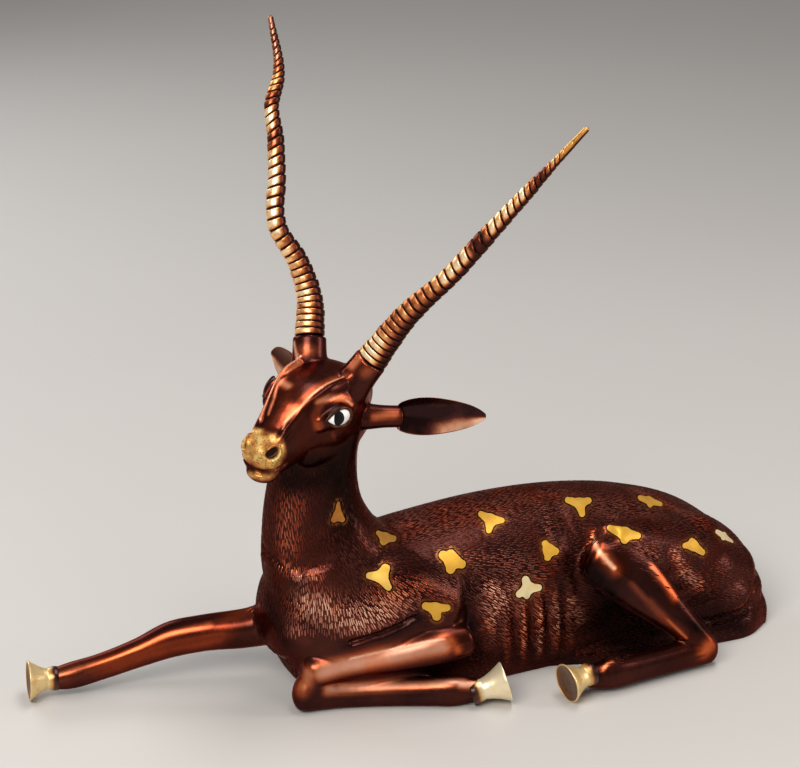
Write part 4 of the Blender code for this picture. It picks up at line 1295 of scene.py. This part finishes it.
# Painted highlight on the crests where the place has painted sheen
painted_crest_highlight = hair_brass.times(crest, hair_brass.attribute("sheen"))
climb = hair_brass.math("MULTIPLY_ADD", painted_crest_highlight, 0.85, climb)
climb = hair_brass.uneven(climb, hair_brass.noise(0.012), 0.24)
warm = hair_brass.spread(hair_brass.noise(0.045, detail=2.0), 0.48, 0.64)
hair_colour = hair_brass.mix(warm, hair_brass.ramp(climb, HAIR_STRIP), HAIR_RUST, blend="MULTIPLY")
hair_brass.set(base_color=hair_colour,
               metallic=hair_brass.spread(climb, 0.4, 0.9, 0.90, 0.60),
               roughness=hair_brass.spread(climb, 0.0, 1.0, 0.36, 0.28))
for piece in hair:
    dress(piece, hair_brass)

# %% [markdown]
# The horns are turned rings stacked like cups: a flat band that widens a little to its lip, then
# a sharp groove. The surface is a function of the way up the horn and the angle round it. Rings
# are closest at the base and at the tip, so the way up is read through a running sum of their
# pitch. On the upper half the rings lean to one side, which shifts the way up by how far a point
# lies to that side. The bands are gold with patina left in the grooves; the side turned to the
# key light is painted brighter as a painted highlight, and the side away is painted dark as shade.

# %% Horns
RING_PITCH = 5.7
GROOVE_DEPTH = 1.05
HORN_AROUND = 60
# Share of the way up a ring, and the cup's width there from groove to lip
CUP = np.array([(0.0, 0.0), (0.10, 0.35), (0.20, 0.72), (0.32, 0.84), (0.50, 0.91), (0.68, 0.96),
                (0.82, 1.0), (0.90, 0.96), (0.96, 0.50)])
# Girth up the horn, as a share of the way from the tip's to the base's
HORN_GIRTH = {
    "left": ((0, 0.12, 0.3, 0.5, 0.66, 0.73, 0.79, 0.86, 1),
             (1, 0.80, 0.56, 0.51, 0.38, 0.33, 0.22, 0.11, 0)),
    "right": ((0, 0.12, 0.3, 0.55, 0.8, 0.87, 0.94, 1), (1, 0.80, 0.56, 0.50, 0.32, 0.19, 0.09, 0))}
# How far up the horn the grooves end
HORN_PLAIN = {"left": 0.86, "right": 0.95}
# The side that the rings lean to, and the side painted as lit by the key light
HORN_LEAN = {"left": upward * 0.7 - right * 0.7, "right": right}
HORN_LIT = {"left": (upward * 0.5 - right * 0.65 + back * 0.57), "right": (back * 0.60 - right * 0.80)}
# How bright the metal is up each horn
HORN_BRIGHT = {
    "left": ((0, 0.07, 0.12, 0.30, 0.36, 0.47, 0.49, 0.54, 0.57, 0.73, 0.76, 0.81, 0.85, 1),
             (0.95, 0.90, 0.50, 0.52, 0.90, 0.95, 0.16, 0.14, 0.90, 0.90, 0.30, 0.22, 0.62, 0.68)),
    "right": ((0, 0.10, 0.30, 0.36, 0.58, 0.60, 0.63, 0.66, 0.71, 0.73, 0.76, 0.80, 0.84, 1),
              (0.85, 0.78, 0.78, 0.95, 0.92, 0.35, 0.30, 0.88, 0.85, 0.35, 0.40, 0.80, 0.45, 0.50))}


def horn_piece(side, seed):
    """Horn as a grid of rows by angle.

    A row's phase counts rings from the base. The place at a phase is shifted by lean times the
    part of the spoke on the lean's direction, and its radius is the girth less the groove.
    """
    rng = np.random.default_rng(seed)
    line, along = horn_line(side)
    length = np.linalg.norm(np.diff(line, axis=0), axis=1).sum()
    reads = np.linspace(0.0, 1.0, 400)
    pitch = RING_PITCH * (0.70 + 0.48 * np.exp(-((reads - 0.45) / 0.26) ** 2))
    counted = np.concatenate([[0.0], np.cumsum(length / 399 / pitch[1:])])
    rings = round(counted[-1])
    counted = counted * rings / counted[-1]
    phase = (np.arange(rings)[:, None] + CUP[:, 0]).ravel()
    height = np.interp(phase, counted, reads)
    middle = [np.interp(height * (len(line) - 1), np.arange(len(line)), c) for c in along.T]
    ahead = unit(np.stack(middle, axis=-1))
    across = unit(SIDE - (ahead @ SIDE)[:, None] * ahead)
    above = np.cross(ahead, across)
    angle = np.arange(HORN_AROUND) * math.tau / HORN_AROUND
    spoke = across[:, None] * np.cos(angle)[:, None] + above[:, None] * np.sin(angle)[:, None]
    lean = 0.50 * np.clip((height - 0.25) / 0.4, 0.0, 1.0) * np.clip((1.0 - height) / 0.1, 0.0, 1.0)
    shifted = phase[:, None] + lean[:, None] * (spoke @ np.array(HORN_LEAN[side]))
    share = np.clip(np.interp(shifted, counted, reads), 0.0, 1.0)
    radius = HORN_TIP + (HORN_BASE - HORN_TIP) * np.interp(share, *HORN_GIRTH[side])
    cup = np.tile(CUP[:, 1], rings)
    plain = np.clip((height - HORN_PLAIN[side]) / 0.06, 0.0, 1.0)
    cup = cup + (0.97 - cup) * plain
    uneven = 1.0 - np.repeat(rng.uniform(0.0, 0.05, rings), len(CUP))
    radius = radius * uneven[:, None] - np.minimum(GROOVE_DEPTH, radius * 0.26) * (1.0 - cup)[:, None]
    centre = np.stack([np.interp(share * (len(line) - 1), np.arange(len(line)), c) for c in line.T],
                      axis=-1)
    grid = centre + radius[..., None] * spoke
    poles = line[0], line[-1] + along[-1] * HORN_TIP
    made = new_piece(f"{side}_horn_rings", [close_rings(grid, poles)])
    # Painted light: bright on the side turned to HORN_LIT, painted shade on the side away, times the
    # metal's brightness up the horn
    facing = np.clip((spoke @ np.array(HORN_LIT[side]) + 0.15) / 0.85, 0.0, 1.0)
    lit = facing**2 * (3.0 - 2.0 * facing) * np.interp(height, *HORN_BRIGHT[side])[:, None]
    tone = np.repeat(rng.uniform(0.0, 1.0, rings), len(CUP))
    lip = np.tile(CUP[:, 1], rings)
    give(made.data, "lip", np.append(np.repeat(lip + (1.0 - lip) * plain, HORN_AROUND), [0.0, 1.0]))
    give(made.data, "tone", np.append(np.repeat(tone, HORN_AROUND), [0.5, 1.0]))
    give(made.data, "up_horn", np.append(np.repeat(height, HORN_AROUND), [0.0, 1.0]))
    give(made.data, "lit", np.append(lit.ravel(), [0.3, 0.6]))
    print(side, "horn:", rings, "rings,", 2 * len(made.data.polygons), "triangles")
    return made


HORN_STRIP = [(0.0, (0.012, 0.0036, 0.0032)), (0.15, (0.070, 0.014, 0.010)), (0.32, (0.25, 0.055, 0.024)),
              (0.50, (0.54, 0.170, 0.055)), (0.68, (0.78, 0.36, 0.125)), (0.84, (0.90, 0.60, 0.30)),
              (1.0, (0.93, 0.75, 0.48))]


def horn_finish(name, tip_colour, tip_from):
    """Gold bands that fall to dark patina in the grooves, and to painted shade on the side away from the
    light.
    """
    finish = Finish(name, coat_weight=0.04, coat_roughness=0.15, specular_tint=(0.9, 0.65, 0.5, 1.0))
    lip = finish.spread(finish.attribute("lip"), 0.30, 1.0, 0.0, 1.06)
    patch = finish.noise(0.0070, detail=5.0, rough=0.70)
    bright = finish.math("MULTIPLY_ADD", finish.attribute("tone"), 0.30, 0.76)
    bright = finish.uneven(bright, patch, 1.9)
    # Painted highlight and shade from the attribute lit
    bright = finish.times(bright, finish.attribute("lit"))
    bright = finish.times(finish.math("MULTIPLY_ADD", bright, 0.95, 0.07), lip)
    colour = finish.ramp(bright, HORN_STRIP)
    at_tip = finish.spread(finish.attribute("up_horn"), tip_from, tip_from + 0.05)
    at_tip = finish.times(at_tip, finish.spread(bright, 0.10, 0.50))
    colour = finish.mix(finish.times(at_tip, 0.8), colour, tip_colour)
    finish.set(base_color=colour, metallic=finish.spread(bright, 0.3, 0.8, 0.90, 0.60),
               roughness=finish.math("MULTIPLY_ADD", patch, 0.16, 0.24),
               normal=finish.bump(finish.noise(0.0016, detail=4.0), 0.00014, 0.6))
    return finish


HORN_TIPS = {"left": ((0.66, 0.33, 0.075, 1.0), 0.86), "right": ((0.36, 0.15, 0.10, 1.0), 0.84)}
for side, seed in (("left", 3), ("right", 4)):
    horn = horn_piece(side, seed)
    dress(horn, horn_finish(f"{side}_horn_brass", *HORN_TIPS[side]))
    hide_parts(f"{side}_horn")

# %% [markdown]
# The leaf of an ear is thin cast metal, cupped to the front. It is one closed skin: at each step
# along the ear a crescent runs from the lower edge over the hollow front to the upper edge, and
# back behind. The crescent is a parabola, deeper at the back by the thickness of the metal.

# %% Ear leaves
# Share of the way to the tip, half width, depth of the cup and thickness in its middle
EAR_LEAF = [(0.25, 6.4, 7.0, 1.2), (0.275, 9.2, 7.8, 1.6), (0.32, 11.2, 8.6, 2.0),
            (0.40, 12.9, 8.8, 2.3), (0.52, 13.4, 7.8, 2.3), (0.66, 12.1, 6.2, 2.1),
            (0.79, 9.8, 4.6, 1.9), (0.90, 6.6, 3.0, 1.6), (0.96, 3.8, 1.7, 1.3), (0.99, 1.9, 0.8, 0.9)]
EAR_RIM = 0.55
EAR_AROUND = 64


def ear_leaf(flip):
    """Closed cupped leaf, with each point's share along it, across it and on its hollow side."""
    reach = np.array(EAR_TIPS[flip]) - EAR_ROOT
    rows = smooth_rows(in_head([(*(EAR_ROOT + reach * share), *sizes) for share, *sizes in EAR_LEAF],
                               flip), 0.8)
    along = unit(np.gradient(rows[:, :3], axis=0))
    across = unit(UP * flip - (along @ (UP * flip))[:, None] * along)
    hollow = np.cross(along, across)
    angle = np.arange(EAR_AROUND) * math.tau / EAR_AROUND
    t, rim = np.cos(angle), np.sin(angle)
    bowl = np.where(rim > 0.0, rows[:, 4:5] - rows[:, 5:6], rows[:, 4:5]) * (1.0 - t**2)
    middle = rows[:, None, :3] + across[:, None] * (rows[:, 3:4] * t)[..., None]
    rings = middle - hollow[:, None] * (bowl - EAR_RIM * rim)[..., None]
    tip = rows[-1, :3] + along[-1] * 0.5
    far = np.repeat(np.linspace(0.0, 1.0, len(rows)), EAR_AROUND)
    leaf = np.stack([far, np.tile(t * flip, len(rows)),
                     np.tile(np.clip(rim * 3.0, 0.0, 1.0), len(rows))], axis=1)
    skin_of_leaf = close_rings(rings, (rows[0, :3] - hollow[0] * 6.0, tip))
    return skin_of_leaf, np.vstack([leaf, (0, 0, 0), (1, 0, 0)])


EAR_STRIP = [(0.0, (0.020, 0.0055, 0.0060)), (0.3, (0.085, 0.020, 0.016)), (0.55, (0.36, 0.11, 0.055)),
             (0.8, (0.66, 0.27, 0.15)), (1.0, (0.84, 0.50, 0.33))]
ear_brass = Finish("ear_brass", coat_weight=0.10, coat_roughness=0.10,
                   specular_tint=(0.85, 0.55, 0.45, 1.0))
place = ear_brass.node("SeparateXYZ", {0: ear_brass.attribute("leaf", "Vector")}).node.outputs
# Painted light on the leaf: a painted highlight on the lower part of the hollow, thin painted highlights
# along the rim and at the leaf's root, and the upper hollow left dark as painted shade
slope = ear_brass.math("MULTIPLY_ADD", place[0], -0.55, place[1])
lit_lower_part = ear_brass.spread(slope, -1.15, -0.35, 1.0, 0.0)
painted_leaf_light = ear_brass.times(lit_lower_part, ear_brass.spread(place[0], 0.26, 0.60))
painted_leaf_light = ear_brass.times(ear_brass.times(painted_leaf_light, place[2]), 0.95)
edge = ear_brass.spread(ear_brass.math("ABSOLUTE", place[1]), 0.93, 0.99, 0.0, 0.50)
start = ear_brass.spread(place[0], 0.02, 0.08, 0.50, 0.0)
painted_leaf_light = ear_brass.larger(painted_leaf_light, ear_brass.larger(edge, start))
painted_leaf_light = ear_brass.uneven(painted_leaf_light, ear_brass.noise(0.010, detail=4.0), 0.75)
ear_brass.set(base_color=ear_brass.ramp(painted_leaf_light, EAR_STRIP),
              metallic=ear_brass.spread(painted_leaf_light, 0.4, 0.9, 0.90, 0.60),
              roughness=ear_brass.math("MULTIPLY_ADD", ear_brass.noise(0.004), 0.14, 0.20),
              normal=ear_brass.bump(ear_brass.noise(0.0035, detail=4.0), 0.00012, 0.5))
for side, flip in (("left", 1.0), ("right", -1.0)):
    skin_of_leaf, leaf_places = ear_leaf(flip)
    leaf = new_piece(f"{side}_ear_leaf", [skin_of_leaf])
    give(leaf.data, "leaf", leaf_places, "FLOAT_VECTOR")
    dress(leaf, ear_brass)
print("ear leaves:", len(leaf.data.polygons), "faces each")

# %% [markdown]
# The eyes are white enamel almonds with a black upright pupil. The part gives their place and
# their size. An ellipsoid on the eye's own axes carries, for each point, where it lies along
# and across the eye, and the shader draws the pupil as an oval of those two numbers.


# %% Eyes
EYE_CENTRE = (32.5, 24.5, -27.5)
EYE_HALVES = np.array([0.0200, 0.0135, 0.0110]) / MM / 2.0
# The opening between the lids: half its length, half its height, and its shift to the front
LID_HALVES = (9.4, 6.9)
LID_SHIFT = 0.4


def eye_axes(flip):
    """Centre of an eye, and its axes: forward along the lids, up across them, and outward."""
    centre = in_head([EYE_CENTRE], flip)[0]
    outward = unit(LEFT * flip * 0.93 + FORWARD * 0.32 + UP * 0.16)
    level = unit(FORWARD - outward * (FORWARD @ outward))
    rise = unit(UP - outward * (UP @ outward) - level * (UP @ level))
    return centre, np.stack([level, rise, outward])


def eye_piece(side, flip):
    """Ellipsoid eye with each point's place along and across it in drawn millimetres."""
    centre, axes = eye_axes(flip)
    made = new_piece(f"{side}_eye_enamel", [ball(centre, EYE_HALVES, axes, around=64)])
    give(made.data, "gaze", (mesh_points(made.data) - centre) @ axes.T, "FLOAT_VECTOR")
    return made


enamel = Finish("eye_enamel", roughness=0.42, coat_weight=0.0)
enamel.shader.inputs["Specular IOR Level"].default_value = 0.18
gaze = enamel.node("SeparateXYZ", {0: enamel.attribute("gaze", "Vector")}).node
PUPIL_HALVES = (3.7, 4.9)
PUPIL_SHIFT = (1.3, 0.1)
u = enamel.math("DIVIDE", enamel.math("SUBTRACT", gaze.outputs[0], PUPIL_SHIFT[0]), PUPIL_HALVES[0])
v = enamel.math("DIVIDE", enamel.math("SUBTRACT", gaze.outputs[1], PUPIL_SHIFT[1]), PUPIL_HALVES[1])
oval = enamel.math("ADD", enamel.times(u, u), enamel.times(v, v))
pupil = enamel.spread(oval, 0.92, 1.05, 1.0, 0.0)
# The enamel fills the opening: across it the lids stand at b sqrt(1 - c^2) ((1 - c) / 2)^0.3
c = enamel.math("DIVIDE", enamel.math("SUBTRACT", gaze.outputs[0], LID_SHIFT), LID_HALVES[0])
round_part = enamel.math("SQRT", enamel.math("SUBTRACT", 1.0, enamel.times(c, c), clamp=True))
taper = enamel.math("POWER", enamel.math("MULTIPLY_ADD", c, -0.5, 0.5, clamp=True), 0.3)
lid_height = enamel.times(enamel.times(round_part, taper), LID_HALVES[1])
open_part = enamel.spread(enamel.math("SUBTRACT", lid_height, enamel.math("ABSOLUTE", gaze.outputs[1])),
                          -0.1, 0.2)
white = enamel.mix(enamel.noise(0.006), (0.80, 0.81, 0.82, 1.0), (0.92, 0.92, 0.92, 1.0))
seen_white = enamel.mix(open_part, (0.020, 0.006, 0.005, 1.0), white)
enamel.set(base_color=enamel.mix(pupil, seen_white, (0.002, 0.002, 0.002, 1.0)))
for side, flip in (("left", 1.0), ("right", -1.0)):
    eye = eye_piece(side, flip)
    dress(eye, enamel)
    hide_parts(f"{side}_eye")
print("eye", [round(2 * h, 1) for h in EYE_HALVES], "drawn mm")

# %% [markdown]
# A fine rim of brass closes round each eye: a thin tube that follows an almond on the eye's own
# surface, drawn out to a tear duct in front and round behind. It is too fine for the fused skin,
# so it is its own mesh, an oval carried along a closed path. The rim kept its dark patina, which
# is what makes the white of the eye stand out.

# %% Eyelids
LID_WIDE = 1.0
LID_PROUD = 0.75


def lid_skin(flip):
    """Closed tube along an almond: along a cos t, across b sin t ((1 - cos t) / 2)^0.3."""
    centre, axes = eye_axes(flip)
    t = np.arange(120) * math.tau / 120
    u = LID_HALVES[0] * np.cos(t) + LID_SHIFT
    v = LID_HALVES[1] * np.sin(t) * ((1.0 - np.cos(t)) / 2.0) ** 0.3
    room = 1.0 - (u / (EYE_HALVES[0] * 1.16)) ** 2 - (v / (EYE_HALVES[1] * 1.22)) ** 2
    w = EYE_HALVES[2] * np.sqrt(np.clip(room, 0.02, 1.0)) * 0.97
    line = centre + np.stack([u, v, w], axis=1) @ axes
    along = unit(np.roll(line, -1, axis=0) - np.roll(line, 1, axis=0))
    out = unit(axes[2] - along * (along @ axes[2])[:, None])
    across = np.cross(along, out)
    angle = np.arange(12) * math.tau / 12
    circle = across[:, None] * np.cos(angle)[:, None] * LID_WIDE
    circle = circle + out[:, None] * np.sin(angle)[:, None] * LID_PROUD
    rings = line[:, None] + circle
    index = np.arange(rings.shape[0] * 12).reshape(-1, 12)
    ahead = np.roll(index, -1, axis=0)
    quads = np.stack([index, np.roll(index, -1, axis=1), np.roll(ahead, -1, axis=1), ahead],
                     axis=-1).reshape(-1, 4)
    return rings.reshape(-1, 3), quads, np.empty((0, 3), int)


lid_brass = Finish("lid_brass", metallic=0.9, coat_weight=0.05)
lid_brass.set(base_color=lid_brass.ramp(lid_brass.noise(0.006), [(0.35, (0.020, 0.006, 0.005)),
                                                                 (0.75, (0.16, 0.045, 0.020))]),
              roughness=lid_brass.math("MULTIPLY_ADD", lid_brass.noise(0.003), 0.15, 0.28))
for side, flip in (("left", 1.0), ("right", -1.0)):
    lid = new_piece(f"{side}_eyelids", [lid_skin(flip)])
    dress(lid, lid_brass)
print("eyelids", LID_HALVES, "drawn mm")

# %% [markdown]
# The hooves are left as bare pale brass, flared like small bells, with the sole turned up at the
# end of each leg. Each is a profile spun along the leg's own direction, so its rim stays crisp,
# and the sole is dished inside the rim.


# %% Hooves
HOOF_NECK = 0.0135 / MM / 2.0
HOOF_SOLE = 0.0262 / MM / 2.0
HOOVES = [((21, -70.5, 10), (38, -75, 15)), ((-226, 55.5, 13.5), (-240, 58, 14)),
          ((90, -89, 14.5), (75, -90.4, 12.8)), ((104, 88, 12.5), (90, 89, 13.8))]
# How golden each hoof is
HOOF_GOLDEN = (0.15, 0.85, 0.9, 0.8)
# Share of the length, share of the radius from neck to sole, and how pale the metal is
HOOF_PROFILE = np.array([
    (-0.30, 0.18, 0.0), (-0.12, 0.20, 0.1), (0.02, 0.12, 0.7), (0.15, 0.02, 1.0), (0.35, 0.14, 1.0),
    (0.6, 0.42, 1.0), (0.82, 0.74, 1.0), (0.97, 0.97, 1.0), (1.0, 0.99, 1.0), (1.03, 0.96, 1.0),
    (1.03, 0.86, 0.9), (1.0, 0.80, 0.5), (0.9, 0.55, 0.25), (0.86, 0.0, 0.2)])


def hoof_skin(neck, sole, around=56):
    """Bell spun round the line from neck to sole: the profile's radius at its share of the way."""
    neck, sole = np.asarray(neck, float), np.asarray(sole, float)
    reach = sole - neck
    ahead = unit(reach)
    across = unit(SIDE - ahead * (SIDE @ ahead))
    above = np.cross(ahead, across)
    marks = np.linspace(0.0, len(HOOF_PROFILE) - 1, 4 * (len(HOOF_PROFILE) - 1) + 1)
    share, flare, pale = (np.interp(marks, np.arange(len(HOOF_PROFILE)), c) for c in HOOF_PROFILE.T)
    radius = HOOF_NECK + (HOOF_SOLE - HOOF_NECK) * flare
    dish = marks > 11.0
    radius = np.where(dish, HOOF_SOLE * np.interp(marks, (11, 12, 13), (0.86, 0.55, 0.02)), radius)
    angle = np.arange(around) * math.tau / around
    spoke = across * np.cos(angle)[:, None] + above * np.sin(angle)[:, None]
    rings = (neck + share[:, None] * reach)[:, None] + radius[:, None, None] * spoke
    rings[..., 2] = np.maximum(rings[..., 2], 0.0)
    skin = close_rings(rings, (rings[0].mean(axis=0), rings[-1].mean(axis=0)))
    inside = np.where(marks > 10.5, 1.0, 0.0)
    return skin, np.append(np.repeat(pale, around), [0.0, 0.2]), np.append(
        np.repeat(inside, around), [0.0, 1.0])


hoof_parts = [hoof_skin(neck, sole) for neck, sole in HOOVES]
hooves = new_piece("hooves", [part[0] for part in hoof_parts])
give(hooves.data, "pale", np.concatenate([part[1] for part in hoof_parts]))
give(hooves.data, "dished", np.concatenate([part[2] for part in hoof_parts]))
give(hooves.data, "golden", np.repeat(HOOF_GOLDEN, len(hoof_parts[0][1])))
hoof_brass = Finish("hoof_brass", metallic=0.60, coat_weight=0.05, coat_roughness=0.2)
worn = hoof_brass.uneven(hoof_brass.attribute("pale"), hoof_brass.noise(0.008, detail=4.0), 0.7)
cream = hoof_brass.ramp(worn, [(0.0, DARK), (0.3, (0.16, 0.055, 0.020)), (0.55, (0.60, 0.34, 0.12)),
                               (0.85, (0.82, 0.66, 0.38)), (1.0, (0.88, 0.78, 0.56))])
golden = hoof_brass.ramp(worn, [(0.0, DARK), (0.3, (0.14, 0.045, 0.016)), (0.6, (0.42, 0.19, 0.045)),
                                (0.9, (0.66, 0.40, 0.12)), (1.0, (0.78, 0.56, 0.24))])
hoof_colour = hoof_brass.mix(hoof_brass.attribute("golden"), cream, golden)
hoof_colour = hoof_brass.mix(hoof_brass.times(hoof_brass.attribute("dished"), 0.85),
                             hoof_colour, (0.12, 0.055, 0.025, 1.0))
hoof_brass.set(base_color=hoof_colour, roughness=hoof_brass.spread(worn, 0.0, 1.0, 0.25, 0.38),
               normal=hoof_brass.bump(hoof_brass.noise(0.003), 0.0002, 0.4))
dress(hooves, hoof_brass)
print("hooves:", len(HOOVES))
